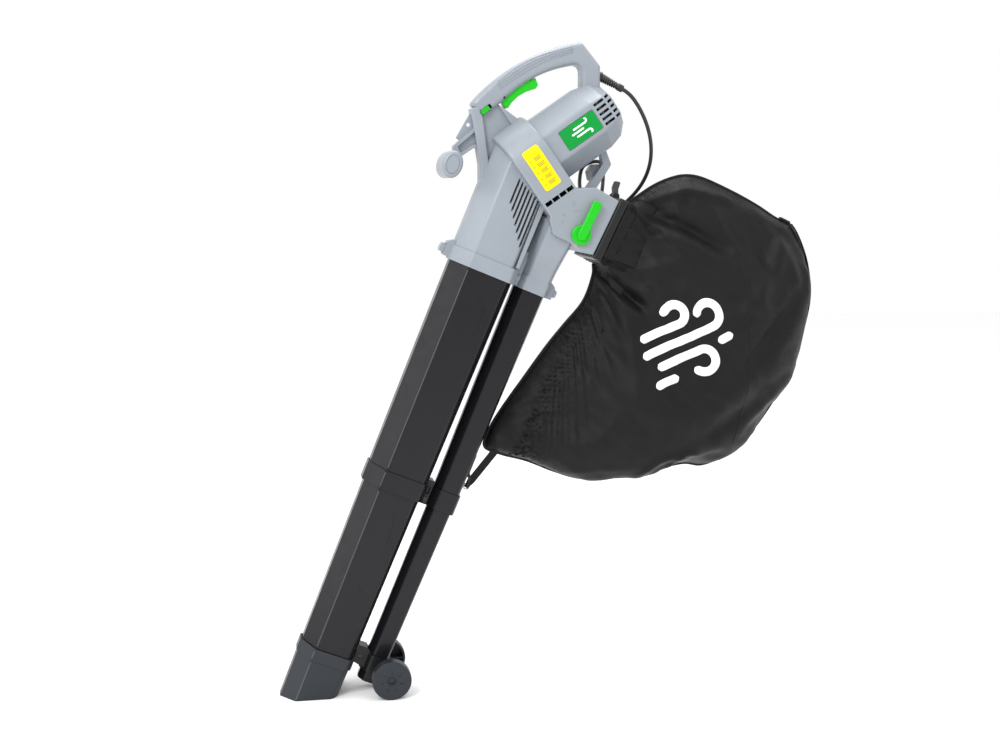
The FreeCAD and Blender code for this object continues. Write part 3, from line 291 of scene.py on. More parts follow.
def paint_frame(materials):
    """Gives each CAD node the material of its slot."""
    for entry in frame["record"]["subparts"]:
        node = frame["nodes"][entry["node"]]
        finish = "dark_steel" if entry["node"] in DARK_METAL else entry["material_slot"]
        node.data.materials.clear()
        node.data.materials.append(materials[finish])


# ---- shared mesh tools
CLOTH_THICKNESS = 0.0008
OUTSIDE_Y = 0.4  # where rays along Y start, well outside the object


def round_turns(count):
    """Angles of count equal steps round a circle."""
    return [2 * math.pi * k / count for k in range(count)]


def add_mesh(name, verts, faces, material, slot=None, smooth=True):
    """A piece that rides on the housing, from its vertices and faces."""
    mesh = bpy.data.meshes.new(name)
    mesh.from_pydata([tuple(v) for v in verts], [], faces)
    mesh.validate()
    mesh.update()
    if smooth:
        shade_smooth(mesh)
    mesh.materials.append(material)
    piece = new_object(name, mesh)
    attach(piece, "housing")
    return piece


def final_mesh(piece):
    """The piece's mesh with its modifiers applied."""
    bpy.context.view_layer.update()
    graph = bpy.context.evaluated_depsgraph_get()
    return bpy.data.meshes.new_from_object(piece.evaluated_get(graph), depsgraph=graph)


def bake(piece):
    """Applies the piece's modifiers to its mesh."""
    mesh = final_mesh(piece)
    piece.modifiers.clear()
    piece.data = mesh


def shade_smooth(mesh):
    mesh.polygons.foreach_set("use_smooth", [True] * len(mesh.polygons))


def vertex_places(mesh):
    """The mesh's vertices as an array of rows of x, y, z."""
    places = np.empty(len(mesh.vertices) * 3)
    mesh.vertices.foreach_get("co", places)
    return places.reshape(-1, 3)


def move_vertices(mesh, places):
    mesh.vertices.foreach_set("co", places.ravel())
    mesh.update()


def thicken_cloth(piece):
    """Gives a single layer of cloth its thickness, inwards."""
    thick = piece.modifiers.new("cloth_thickness", "SOLIDIFY")
    thick.thickness = CLOTH_THICKNESS
    thick.offset = -1
    bake(piece)
    shade_smooth(piece.data)


def skin_of(piece):
    """Ray-casting tree over the piece's mesh, which is in world coordinates."""
    verts = [v.co.copy() for v in piece.data.vertices]
    return BVHTree.FromPolygons(verts, [list(face.vertices) for face in piece.data.polygons])


def side_point(tree, x, z, side, lift):
    """The point of the surface seen along Y from one side at x, z, lifted towards that side."""
    hit = tree.ray_cast(Vector((x, side * OUTSIDE_Y, z)), Vector((0, -side, 0)))[0]
    if hit is None:
        return None
    return Vector((x, hit.y + side * lift, z))


def resampled(points, step):
    """Smooth open curve through the points, sampled about every step."""
    pts = [np.array(p, float) for p in points]
    line = []
    for i in range(len(pts) - 1):
        a, b = pts[i], pts[i + 1]
        before = pts[i - 1] if i else 2 * a - b
        after = pts[i + 2] if i + 2 < len(pts) else 2 * b - a
        pieces = max(1, int(round(np.linalg.norm(b - a) / step)))
        for k in range(pieces):
            t = k / pieces
            line.append(0.5 * (2 * a + (b - before) * t + (2 * before - 5 * a + 4 * b - after) * t * t
                               + (3 * a - before - 3 * b + after) * t ** 3))
    line.append(pts[-1])
    return line


def sweep(sections, closed_path=False, capped=True):
    """Vertices and faces of a skin through closed sections with equal counts, with a face over each end."""
    count = len(sections[0])
    verts = [p for section in sections for p in section]
    faces = []
    rows = len(sections)
    for i in range(rows if closed_path else rows - 1):
        a, b = i * count, ((i + 1) % rows) * count
        for k in range(count):
            n = (k + 1) % count
            faces.append((a + k, a + n, b + n, b + k))
    if capped and not closed_path:
        faces.append(tuple(reversed(range(count))))
        faces.append(tuple(range((rows - 1) * count, rows * count)))
    return verts, faces


def raised_strip(tree, points, width, height, side=-1, step=0.003, sunk=0.0004, across=4):
    """A flat strip with round ends that follows a surface seen along Y, as vertices and faces.

    The points give x and z, and the strip stands height above the surface and reaches sunk below it.
    """
    edge_height, narrowest = 0.4 * height, 0.18 * width / 2
    line = resampled(points, step)
    lengths = np.concatenate([[0], np.cumsum([np.linalg.norm(b - a) for a, b in zip(line, line[1:])])])
    half = width / 2
    sections = []
    for i, p in enumerate(line):
        along = line[min(i + 1, len(line) - 1)] - line[max(i - 1, 0)]
        along = along / max(np.linalg.norm(along), 1e-9)
        normal = np.array((-along[1], along[0]))
        end = min(lengths[i], lengths[-1] - lengths[i])
        wide = half if end >= half else math.sqrt(max(half ** 2 - (half - end) ** 2, narrowest ** 2))
        top, low = [], []
        for k in range(across + 1):
            spot = p + normal * wide * (2 * k / across - 1)
            lift = height if 0 < k < across else edge_height
            place = side_point(tree, spot[0], spot[1], side, lift)
            under = side_point(tree, spot[0], spot[1], side, -sunk)
            if place is None:
                break
            top.append(place)
            low.append(under)
        if len(top) == across + 1:
            sections.append(top + low[::-1])
    if len(sections) < 2:
        return [], []
    return sweep(sections)


def add_joined(name, bits, material, slot=None, smooth=True):
    """One piece from several bits, each given as vertices and faces."""
    verts, faces = [], []
    for some, polygons in bits:
        start = len(verts)
        verts += some
        faces += [tuple(start + i for i in face) for face in polygons]
    return add_mesh(name, verts, faces, material, slot, smooth)


def seen_along_y(points):
    """The points' x and z."""
    return [(p.x, p.z) for p in points]


def arc(center, radius, start, stop, count=14):
    """Points on an arc in x, z; angles in degrees."""
    angles = [math.radians(start + (stop - start) * i / count) for i in range(count + 1)]
    return [(center[0] + radius * math.cos(a), center[1] + radius * math.sin(a)) for a in angles]


# ---- mains lead
LEAD_D = 0.0065
# middle line of the lead in mm, from its strain relief through the cord hook to the plug
ROUTE = [
    (131.3, 0, -41.3), (144, 0, -47.8), (163, 3, -72), (179, 9, -102), (189, 19, -134), (191, 33, -166),
    (183, 48, -196), (166, 64, -222), (145, 80, -242), (121, 88, -251), (98, 92, -243), (83, 91, -218),
    (74, 66, -189), (74, 39, -163), (109, 37, -157), (115, 58, -183), (121, 86, -204), (121, 102, -230),
    (120, 106, -256),
]
RELIEF_FOOT = Vector((90.4, 0, -20.4)) * MM
RELIEF_TIP = Vector((131.8, 0, -41.5)) * MM


def mains_lead(materials):
    curve = bpy.data.curves.new("lead", "CURVE")
    curve.dimensions = "3D"
    spline = curve.splines.new("NURBS")
    spline.points.add(len(ROUTE) - 1)
    for point, (x, y, z) in zip(spline.points, ROUTE):
        point.co = (x * MM, y * MM, z * MM, 1)
    spline.order_u = 3
    spline.use_endpoint_u = True
    spline.resolution_u = 16
    curve.bevel_depth = LEAD_D / 2
    curve.bevel_resolution = 5
    curve.use_fill_caps = True
    curve.materials.append(materials["cord_rubber"])
    lead = new_object("lead", curve)
    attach(lead, "housing")
    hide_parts("mains_lead")


def strain_relief(materials):
    """Tapered sleeve with bending ribs where the lead leaves the handle."""
    along = (RELIEF_TIP - RELIEF_FOOT).normalized()
    side = Vector((0, 1, 0))
    up = along.cross(side)
    reach = (RELIEF_TIP - RELIEF_FOOT).length
    # distance along the sleeve and radius there
    profile = [(-0.016, 0.0056), (-0.0005, 0.0056), (0.0, 0.0082), (0.003, 0.0084), (0.0045, 0.0074)]
    ribs, rib_height, start, stop = 8, 0.0012, 0.0055, reach - 0.010
    pitch = (stop - start) / ribs
    for i in range(ribs):
        place = start + (stop - start) * i / ribs
        size = 0.0074 - 0.0022 * i / ribs
        profile += [(place, size - rib_height), (place + 0.35 * pitch, size - rib_height),
                    (place + 0.45 * pitch, size), (place + 0.9 * pitch, size)]
    profile += [(stop + 0.0005, 0.0058), (stop + 0.0015, 0.0062), (reach - 0.001, 0.0060), (reach, 0.0052)]
    sections = []
    for distance, radius in profile:
        middle = RELIEF_FOOT + along * distance
        sections.append([middle + (side * math.cos(turn) + up * math.sin(turn)) * radius
                         for turn in round_turns(28)])
    sleeve = add_mesh("lead_sleeve", *sweep(sections), materials["cord_rubber"], slot="cord_rubber")
    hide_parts("strain_relief")


# ---- collecting bag
# outline of the filled bag in mm, from its mouth's lower end round to the upper end
BAG_OUTLINE = [
    (83, -331), (82, -352), (66, -394), (34, -432), (4, -468), (-36, -522), (-78, -580), (-99, -616),
    (-103, -641), (-72, -655), (-30, -667), (20, -688), (66, -702), (120, -703), (174, -701), (216, -688),
    (252, -682), (281, -686), (312, -677), (345, -656), (376, -623), (406, -581), (446, -514), (464, -442),
    (472, -397), (470, -358), (459, -313), (436, -268), (408, -255), (369, -231), (322, -207), (272, -186),
    (240, -182), (210, -189), (182, -202), (150, -223), (127, -237),
]
BAG_STEP = 8.0  # cloth mesh size in mm
BAG_HALF = 88.0  # half the filled bag's thickness
MOUTH_HALF = 62.0  # half the mouth's width
BAG_LIMIT = 97.0  # no fold stands farther out than this
EDGE_INSET = 2.0  # the seam lies this far inside the outline, under its binding
ROW_PITCH = 0.866 * BAG_STEP  # staggered rows, for nearly equal triangles
SAME_PLACE = 0.05

PILLOW_CELL = 5.0
PILLOW_MARGIN = 12
MOUTH_REACH = 9
RELAXING_STEPS = 2600
SAG, SAG_REACH = 0.25, 260.0  # how much deeper the bag is below its middle, over this height in mm

SETTLING_FRAMES = 30
MOST_SETTLING = 0.014  # metres that the cloth may move from its filled shape

# creases: points in mm, depth (positive stands out) and half width in mm, which sides, and whether
# the fold is a step (one flank up, one down) or a plain ridge or valley
CREASES = [
    ([(122, -228), (161, -248), (237, -283), (309, -324)], -11.0, 15.0, "near", True),
    ([(64, -329), (80, -341), (126, -386), (161, -413)], -12.0, 12.0, "near", True),
    ([(79, -334), (140, -338), (223, -327)], 8.0, 12.0, "near", False),
    ([(164, -277), (193, -279)], -7.0, 5.0, "near", False),
    ([(150, -700), (200, -662), (246, -669)], 5.0, 8.0, "near", True),
    ([(202, -686), (232, -655), (268, -662)], 4.0, 7.0, "near", True),
    ([(20, -684), (83, -674), (160, -676)], 3.0, 8.0, "near", False),
    ([(-74, -579), (-45, -563), (-15, -555)], 3.0, 7.0, "near", True),
    ([(-50, -600), (-21, -580), (19, -576)], 3.0, 7.0, "near", True),
    ([(377, -262), (423, -316), (448, -395)], -4.0, 12.0, "near", True),
    ([(176, -224), (253, -214), (330, -235)], 4.0, 10.0, "near", True),
    ([(340, -300), (372, -350), (366, -410)], -3.5, 14.0, "near", True),
    ([(60, -470), (110, -540), (180, -600)], 3.0, 22.0, "near", True),
    ([(250, -610), (320, -560), (370, -490)], 3.0, 24.0, "near", True),
    ([(110, -240), (190, -290), (280, -390)], -8.0, 18.0, "far", True),
    ([(70, -340), (150, -390), (210, -480)], -7.0, 16.0, "far", True),
    ([(90, -320), (180, -330), (300, -300)], 6.0, 14.0, "far", False),
    ([(0, -560), (90, -600), (200, -600)], 4.0, 20.0, "far", True),
    ([(250, -640), (340, -560), (400, -450)], 4.5, 22.0, "far", True),
    ([(300, -230), (380, -320), (420, -420)], -4.0, 16.0, "far", True),
]


def inside(polygon, x, z):
    """Which of the points lie inside the polygon."""
    found = np.zeros(np.shape(x), bool)
    for (x0, z0), (x1, z1) in zip(polygon, np.roll(polygon, -1, axis=0)):
        crosses = (z0 > z) != (z1 > z)
        with np.errstate(divide="ignore", invalid="ignore"):
            found ^= crosses & (x < (x1 - x0) * (z - z0) / (z1 - z0) + x0)
    return found


def distance_to(x, z, line):
    """Distance from points to a polyline, with the signed side of its nearest run."""
    best = np.full(np.shape(x), 1e9)
    sign = np.zeros(np.shape(x))
    share = np.zeros(np.shape(x))
    runs = len(line) - 1
    for i, ((x0, z0), (x1, z1)) in enumerate(zip(line, line[1:])):
        dx, dz = x1 - x0, z1 - z0
        t = np.clip(((x - x0) * dx + (z - z0) * dz) / (dx * dx + dz * dz), 0, 1)
        ex, ez = x - x0 - t * dx, z - z0 - t * dz
        d = np.hypot(ex, ez)
        closer = d < best
        best = np.where(closer, d, best)
        sign = np.where(closer, np.sign(dx * ez - dz * ex), sign)
        share = np.where(closer, (i + t) / runs, share)
    return best, sign, share


class Pillow:
    """Half thickness of the filled bag: the square root of a membrane's rise over the outline."""

    def __init__(self, outline):
        cell = PILLOW_CELL
        self.low = outline.min(axis=0) - PILLOW_MARGIN
        size = np.ceil((outline.max(axis=0) + PILLOW_MARGIN - self.low) / cell).astype(int) + 1
        x = self.low[0] + cell * np.arange(size[0])[:, None] + np.zeros(size[1])[None]
        z = self.low[1] + cell * np.arange(size[1])[None] + np.zeros(size[0])[:, None]
        free = inside(outline, x, z)
        mouth = [tuple(outline[-1]), tuple(outline[0])]
        near_mouth = distance_to(x, z, mouth)[0] < MOUTH_REACH
        held = np.where(near_mouth & ~free, MOUTH_HALF ** 2, 0.0)
        fed = self.relaxed(np.zeros_like(held), free, 1.0)
        led = self.relaxed(held, free, 0.0)
        fed *= 1.0 + SAG * (outline[:, 1].mean() - z) / SAG_REACH
        room = BAG_HALF ** 2 - led
        self.rise = led + fed * np.min((room / np.maximum(fed, 1e-6))[free])

    @staticmethod
    def relaxed(start, free, source):
        """Membrane over the free cells, lifted evenly by source and held at start elsewhere."""
        u = start.copy()
        for _ in range(RELAXING_STEPS):
            around = np.roll(u, 1, 0) + np.roll(u, -1, 0) + np.roll(u, 1, 1) + np.roll(u, -1, 1)
            u = np.where(free, 0.25 * (around + source), start)
        return u

    def half(self, x, z):
        """The bag's half thickness at one point, between the grid's four nearest values."""
        rise = self.rise
        i = np.clip((x - self.low[0]) / PILLOW_CELL, 0, rise.shape[0] - 1.001)
        k = np.clip((z - self.low[1]) / PILLOW_CELL, 0, rise.shape[1] - 1.001)
        i0, k0 = int(i), int(k)
        s, t = i - i0, k - k0
        low = rise[i0, k0] * (1 - s) + rise[i0 + 1, k0] * s
        high = rise[i0, k0 + 1] * (1 - s) + rise[i0 + 1, k0 + 1] * s
        squared = low * (1 - t) + high * t
        return math.sqrt(max(squared, 0.0))


def bag_rim():
    """The seam line in mm, from the mouth's lower end round to its upper end, and the mouth's own points."""
    outline = np.array(BAG_OUTLINE, float)
    seam = np.array(resampled(BAG_OUTLINE, BAG_STEP))
    along = np.gradient(seam, axis=0)
    along /= np.linalg.norm(along, axis=1)[:, None]
    inward = np.stack([-along[:, 1], along[:, 0]], axis=1)
    seam = seam + inward * EDGE_INSET
    steps = int(np.linalg.norm(outline[-1] - outline[0]) / BAG_STEP)
    mouth = [seam[-1] + (seam[0] - seam[-1]) * i / steps for i in range(1, steps)]
    return seam, np.array(mouth)


def rows_inside(rim):
    """Points in staggered rows inside the rim, none of them close to it."""
    low, high = rim.min(axis=0), rim.max(axis=0)
    closed = [tuple(p) for p in rim] + [tuple(rim[0])]
    points = []
    row = 0
    z = low[1]
    while z < high[1]:
        x = low[0] + (BAG_STEP / 2 if row % 2 else 0.0)
        while x < high[0]:
            if inside(rim, x, z) and distance_to(x, z, closed)[0] > 0.6 * BAG_STEP:
                points.append(Vector((x, z)))
            x += BAG_STEP
        z += ROW_PITCH
        row += 1
    return points


def bag_shell():
    """Both panels of the bag as one mesh in mm, open at the mouth: vertices, faces, and each vertex's pin."""
    seam, mouth = bag_rim()
    rim = np.concatenate([seam, mouth])
    pillow = Pillow(rim)
    points = [Vector((float(a), float(b))) for a, b in rim] + rows_inside(rim)
    edges = [(i, (i + 1) % len(rim)) for i in range(len(rim))]
    flat, _, triangles = geometry.delaunay_2d_cdt(points, edges, [], 1, 1e-4)[:3]
    verts, pins = [], []
    near, far = [], []
    for p in flat:
        if np.hypot(seam[:, 0] - p[0], seam[:, 1] - p[1]).min() < SAME_PLACE:
            near.append(len(verts))
            far.append(len(verts))
            verts.append((p[0], 0.0, p[1]))
            pins.append(1.0)
            continue
        half = pillow.half(p[0], p[1])
        held = np.hypot(mouth[:, 0] - p[0], mouth[:, 1] - p[1]).min() < SAME_PLACE
        for group, side in ((near, -1), (far, 1)):
            group.append(len(verts))
            verts.append((p[0], side * (MOUTH_HALF if held else half), p[1]))
            pins.append(1.0 if held else 0.0)
    faces = []
    for a, b, c in triangles:
        if (flat[b] - flat[a]).cross(flat[c] - flat[a]) < 0:
            b, c = c, b
        faces.append((near[a], near[b], near[c]))
        faces.append((far[a], far[c], far[b]))
    return np.array(verts), faces, pins


def fill_with_air(piece, pins):
    """Lets the cloth settle: a little loose, lightly blown up, held at its seam and mouth."""
    group = piece.vertex_groups.new(name="held")
    for index, weight in enumerate(pins):
        if weight:
            group.add([index], weight, "REPLACE")
    cloth = piece.modifiers.new("settle", "CLOTH")
    settings = cloth.settings
    settings.quality = 5
    settings.mass = 0.12
    settings.air_damping = 4.0
    settings.tension_stiffness = 12
    settings.compression_stiffness = 12
    settings.shear_stiffness = 4
    settings.bending_stiffness = 0.6
    settings.vertex_group_mass = "held"
    settings.use_pressure = True
    settings.uniform_pressure_force = 1.6
    settings.shrink_min = -0.045
    settings.effector_weights.gravity = 0.5
    cloth.point_cache.frame_start = 1
    cloth.point_cache.frame_end = SETTLING_FRAMES + 2
    for step in range(1, SETTLING_FRAMES + 1):
        bpy.context.scene.frame_set(step)
    settled = vertex_places(final_mesh(piece))
    piece.modifiers.clear()
    bpy.context.scene.frame_set(1)
    return settled


def mouth_gathers(x, z, side):
    """Height of the pleats that fan out from the mouth and fade within about 50 mm."""
    head = np.array(BAG_OUTLINE[0], float)
    across = np.array(BAG_OUTLINE[-1], float) - head
    length = np.linalg.norm(across)
    across /= length
    out = np.array((across[1], -across[0]))
    t = (x - head[0]) * across[0] + (z - head[1]) * across[1]
    n = (x - head[0]) * out[0] + (z - head[1]) * out[1]
    fan = (t - length / 2) / (length / 2 + 0.75 * np.maximum(n, 0))
    wobble = np.array([noise.noise(Vector((f * 2.1, s * 3.0, 0.3))) for f, s in zip(fan, side)])
    gathers = np.sin(fan * 21.0 + 2.6 * wobble + side) + 0.5 * np.sin(fan * 37.0 + 4.0 * wobble)
    return 4.0 * gathers * np.exp(-(np.maximum(n, 0) / 52.0) ** 1.4) * np.clip(n / 6.0, 0, 1)


def long_folds(x, z, side):
    """Height of the folds in CREASES, each fading out towards its ends."""
    push = np.zeros(len(x))
    for line, depth, width, which, stepped in CREASES:
        path = [tuple(p) for p in resampled(line, 12.0)]
        d, sign, along = distance_to(x, z, path)
        fade = np.clip(np.minimum(along, 1 - along) * 5.0, 0, 1)
        fade = np.where((along <= 0) | (along >= 1), 0.0, fade)
        shape = np.exp(-(d / width) ** 2)
        if stepped:
            shape = 2.0 * sign * (d / width) * shape + 0.5 * shape
        chosen = side < 0 if which == "near" else side > 0
        push += np.where(chosen, depth * shape * fade, 0.0)
    return push


def crumpling(x, z, side):
    """Height of the small random-looking dents between the folds."""
    push = np.zeros(len(x))
    for i, (px, pz) in enumerate(zip(x, z)):
        broad = noise.noise(Vector((px * 0.011, side[i] * 5.0, pz * 0.014)))
        drawn = noise.noise(Vector(((px + pz) * 0.028, side[i] * 9.0, (px - pz) * 0.009)))
        fine = noise.noise(Vector((px * 0.05, side[i] * 3.0, pz * 0.045)))
        push[i] = 3.4 * broad + 3.6 * (0.5 - abs(drawn)) + 1.2 * fine
    return push


def crease(place):
    """Adds the folds to bag vertices in mm, fading out towards the flat seam."""
    x, y, z = place[:, 0], place[:, 1], place[:, 2]
    side = np.sign(y)
    weight = np.clip(np.abs(y) / 16.0, 0, 1)
    push = mouth_gathers(x, z, side) + long_folds(x, z, side) + crumpling(x, z, side)
    place[:, 1] = np.clip(y + side * push * weight, -BAG_LIMIT, BAG_LIMIT)
    return place


def filled_bag(materials):
    """The bag's cloth: filled, settled by a cloth simulation, then creased and given its thickness."""
    verts, faces, pins = bag_shell()
    bag = add_mesh("bag_cloth", verts * MM, faces, materials["bag_fabric"], slot="bag_fabric")
    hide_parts("bag")
    start = verts * MM
    moved = fill_with_air(bag, pins) - start
    far = np.linalg.norm(moved, axis=1)
    scale = np.where(far > MOST_SETTLING, MOST_SETTLING / np.maximum(far, 1e-9), 1.0)
    move_vertices(bag.data, start + moved * scale[:, None])
    sharp = bag.data.attributes.new("crease_edge", "FLOAT", "EDGE")
    sharp.data.foreach_set("value", [1.0 if pins[a] and pins[b] else 0.0
                                     for a, b in (edge.vertices for edge in bag.data.edges)])
    if bag.vertex_groups:
        evened = bag.modifiers.new("evened", "SMOOTH")
        evened.factor = 0.5
        evened.iterations = 5
        evened.vertex_group = "held"
        evened.invert_vertex_group = True
    smooth = bag.modifiers.new("smooth", "SUBSURF")
    smooth.levels = smooth.render_levels = 1
    bake(bag)
    move_vertices(bag.data, crease(vertex_places(bag.data) / MM) * MM)
    thicken_cloth(bag)
    return bag


def seam_frame():
    """Points along the bag's edge in metres with the outward direction at each."""
    seam = np.array(resampled(BAG_OUTLINE, 4.0))
    along = np.gradient(seam, axis=0)
    along /= np.linalg.norm(along, axis=1)[:, None]
    out = np.stack([along[:, 1], -along[:, 0]], axis=1)
    return seam * MM, out


# ends of the zip on the bag's edge, in mm
ZIP_TOP = (430, -266)
ZIP_END = (312, -677)


def zip_span(seam):
    """Indices of the bag edge's points where the zip starts and ends."""
    first = int(np.argmin(np.hypot(*(seam / MM - np.array(ZIP_END)).T)))
    last = int(np.argmin(np.hypot(*(seam / MM - np.array(ZIP_TOP)).T)))
    return min(first, last), max(first, last)


def edge_binding(materials):
    """Binding sewn over the seam, except along the zip."""
    seam, out = seam_frame()
    first, last = zip_span(seam)
    inset, half_wide, half_thick = 0.0022, 0.0034, 0.0013
    runs = []
    for a, b in ((0, first + 1), (last, len(seam))):
        sections = []
        for i in range(a, b):
            center = seam[i] - out[i] * inset
            ring = []
            for turn in round_turns(10):
                x, z = center + out[i] * half_wide * math.cos(turn)
                ring.append(Vector((x, half_thick * math.sin(turn), z)))
            sections.append(ring)
        runs.append(sweep(sections))
    return add_joined("bag_binding", runs, materials["webbing"], slot="bag_fabric")


def zip_tape(materials):
    """The zip's woven tape, wrapped over the bag's rear edge."""
    seam, out = seam_frame()
    first, last = zip_span(seam)
    half_wide, curve, columns = 0.0125, 0.081, 8
    sections = []
    for i in range(first, last + 1):
        ring = []
        for lift, sign in ((0.0006, 1), (-0.0010, -1)):
            for k in range(columns + 1):
                y = sign * half_wide * (2 * k / columns - 1)
                x, z = seam[i] + out[i] * (lift - y * y / curve)
                ring.append(Vector((x, y, z)))
        sections.append(ring)
    return add_mesh("bag_zip_tape", *sweep(sections), materials["webbing"], slot="bag_fabric")


def zip_teeth(materials):
    """Tapered teeth in two rows that mesh along the middle of the tape."""
    seam, _ = seam_frame()
    first, last = zip_span(seam)
    pitch, offset = 0.0026, 0.0009
    # height above the tape, half length along the zip and half width of each section of a tooth
    levels = ((0.0003, 0.0010, 0.0021), (0.0016, 0.0010, 0.0021), (0.0021, 0.0006, 0.0015))
    line = np.array(resampled(seam[first:last + 1], pitch))
    heading = np.gradient(line, axis=0)
    heading /= np.linalg.norm(heading, axis=1)[:, None]
    teeth = []
    for i in range(2, len(line) - 2):
        shift = offset if i % 2 else -offset
        up = np.array((heading[i][1], -heading[i][0]))
        sections = []
        for reach, half_long, half_wide in levels:
            corners = []
            for da, dy in ((-1, -1), (1, -1), (1, 1), (-1, 1)):
                x, z = line[i] + heading[i] * half_long * da + up * reach
                corners.append(Vector((x, shift + half_wide * dy, z)))
            sections.append(corners)
        teeth.append(sweep(sections))
    add_joined("bag_zip_teeth", teeth, materials["zip_black"], slot="hard_black", smooth=False)


def cuff_frame():
    """Center of the outlet collar's rim, its long direction, its outward direction and half its length."""
    low, high = in_tube(171.0, 89.5), in_tube(177.0, 197.0)
    along = (high - low).normalized()
    out = Vector((along.z, 0, -along.x))
    return (low + high) / 2, along, out, (high - low).length / 2


def cuff_ring(distance, lift, gather, count=220):
    """Rounded rectangle around the cuff, this far out from the collar, lifted and gathered."""
    center, along, out, half_long = cuff_frame()
    half_wide, corner, bend = 0.0700, 0.019, 0.35
    a, b = half_long - corner, half_wide - corner
    ring = []
    for turn in round_turns(count):
        c, s = math.cos(turn), math.sin(turn)
        u = math.copysign(min(abs(c) / bend, 1.0), c) * a + corner * c
        v = math.copysign(min(abs(s) / bend, 1.0), s) * b + corner * s
        reach = lift + gather * math.sin(34 * turn + 2.4 * math.sin(5 * turn))
        ring.append(center + out * distance + along * (u + reach * c) + Vector((0, v + reach * s, 0)))
    return ring


def bag_cuff(materials):
    """Elasticated cuff that grips the outlet collar, with small gathers."""
    # distance out from the collar and lift off its rim
    profile = [(0.0006, 0.0), (0.0006, 0.0012), (0.003, 0.0022), (0.005, 0.0010), (0.0075, 0.0022),
               (0.010, 0.0008), (0.013, 0.0012), (0.016, -0.0002), (0.019, -0.0022), (0.022, -0.0046),
               (0.0215, -0.0060), (0.016, -0.0042), (0.0006, -0.0036)]
    rings = [cuff_ring(distance, lift, 0.0011 * min(distance / 0.006, 1.6) if lift > -0.003 else 0.0)
             for distance, lift in profile]
    add_mesh("bag_cuff", *sweep(rings, closed_path=True), materials["bag_fabric"], slot="bag_fabric")


def bag_neck(materials, bag):
    """Gathered gusset that closes the bag's narrow end onto the wide cuff."""
    center, _, out, _ = cuff_frame()
    tree = skin_of(bag)
    start = cuff_ring(0.0165, -0.0030, 0.0)
    reach, steps, tuck, fold_height = 0.062, 10, 0.002, 0.0022
    hub = center + out * reach
    end = []
    for point in start:
        spoke = point - center
        spoke = (spoke - out * spoke.dot(out)).normalized()
        hit = tree.ray_cast(hub, spoke, 0.2)[0]
        end.append((hit if hit is not None else hub + spoke * 0.05) - spoke * tuck)
    rings = []
    for i in range(steps + 1):
        share = i / steps
        ring = []
        for turn, a, b in zip(round_turns(len(start)), start, end):
            spoke = (b - center).normalized()
            fold = fold_height * math.sin(26 * turn + 2.0 * math.sin(3 * turn)) * math.sin(math.pi * share)
            ring.append(a.lerp(b, share) + spoke * fold)
        rings.append(ring)
    neck = add_mesh("bag_neck", *sweep(rings, capped=False), materials["bag_fabric"], slot="bag_fabric")
    thicken_cloth(neck)
    return neck


def corner_strap(materials):
    """Webbing strap from the bag's lower corner, doubled through the ring on the tube."""
    ring_at = in_tube(121.0, -347.0)
    start = Vector((-86.0, 0, -650.0)) * MM
    along = (ring_at - start).normalized()
    across = Vector((-along.z, 0, along.x))
    reach = (ring_at - start).length
    sections = []
    # distance along the strap and half its thickness there
    rows = [(-0.012, -0.0011), (0.010, -0.0013), (0.022, -0.0012), (reach - 0.012, -0.0011),
            (reach - 0.004, -0.0019), (reach + 0.0022, -0.0021)]
    for distance, depth in rows:
        half = 0.0064 if distance < reach - 0.008 else 0.0044
        corners = []
        for da, dy in ((-1, 1), (1, 1), (1, -1), (-1, -1)):
            corners.append(start + along * distance + across * half * da + Vector((0, depth * dy, 0)))
        sections.append(corners)
    strap = add_mesh("corner_strap", *sweep(sections), materials["webbing"], slot="bag_fabric", smooth=False)
    eased = strap.modifiers.new("eased", "BEVEL")
    eased.width = 0.0006
    eased.segments = 2
    bake(strap)
    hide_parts("bag_strap")


# ---- springs
def coil_spring(name, start, along, radius, wire, length, turns, materials):
    """Wire helix from start along a direction, with its end turns closed up."""
    side = Vector((1, 0, 0)) if abs(along.y) > 0.5 else Vector((0, 1, 0))
    up = along.cross(side)
    steps = 18 * turns
    closed = 0.12  # share of the wire in the closed turn at each end
    sections = []
    for i in range(steps + 1):
        share = i / steps
        turn = 2 * math.pi * turns * share
        climbed = min(max((share - closed) / (1 - 2 * closed), 0.0), 1.0)
        rise = length * climbed * (1 - wire / length) + wire / 2
        spoke = side * math.cos(turn) + up * math.sin(turn)
        center = start + along * rise + spoke * radius
        sections.append([center + (spoke * math.cos(bend) + along * math.sin(bend)) * wire / 2
                         for bend in round_turns(6)])
    return add_mesh(name, *sweep(sections), materials["steel"], slot="steel")


def springs(materials):
    """Coil springs behind both latch buttons and beside the trigger."""
    across = (in_tube(1, 0) - in_tube(0, 0)).normalized()
    for name, joint, foot, way in (("suction_spring", "suction_latch_press", in_tube(-60.5, 14), -across),
                                   ("blow_spring", "blow_latch_press", in_tube(121.6, 12), across)):
        spring = coil_spring(name, foot, way, 0.0043, 0.0005, 0.0043, 3, materials)
        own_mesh(spring)
        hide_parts("latch_springs")
    low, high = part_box("trigger_spring")
    hub = Vector(((low[0] + high[0]) / 2, low[1], (low[2] + high[2]) / 2))
    long = high[1] - low[1]
    torsion = coil_spring("trigger_coil", hub, Vector((0, 1, 0)), 0.0034, 0.0007, long, 4, materials)
    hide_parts("trigger_spring")


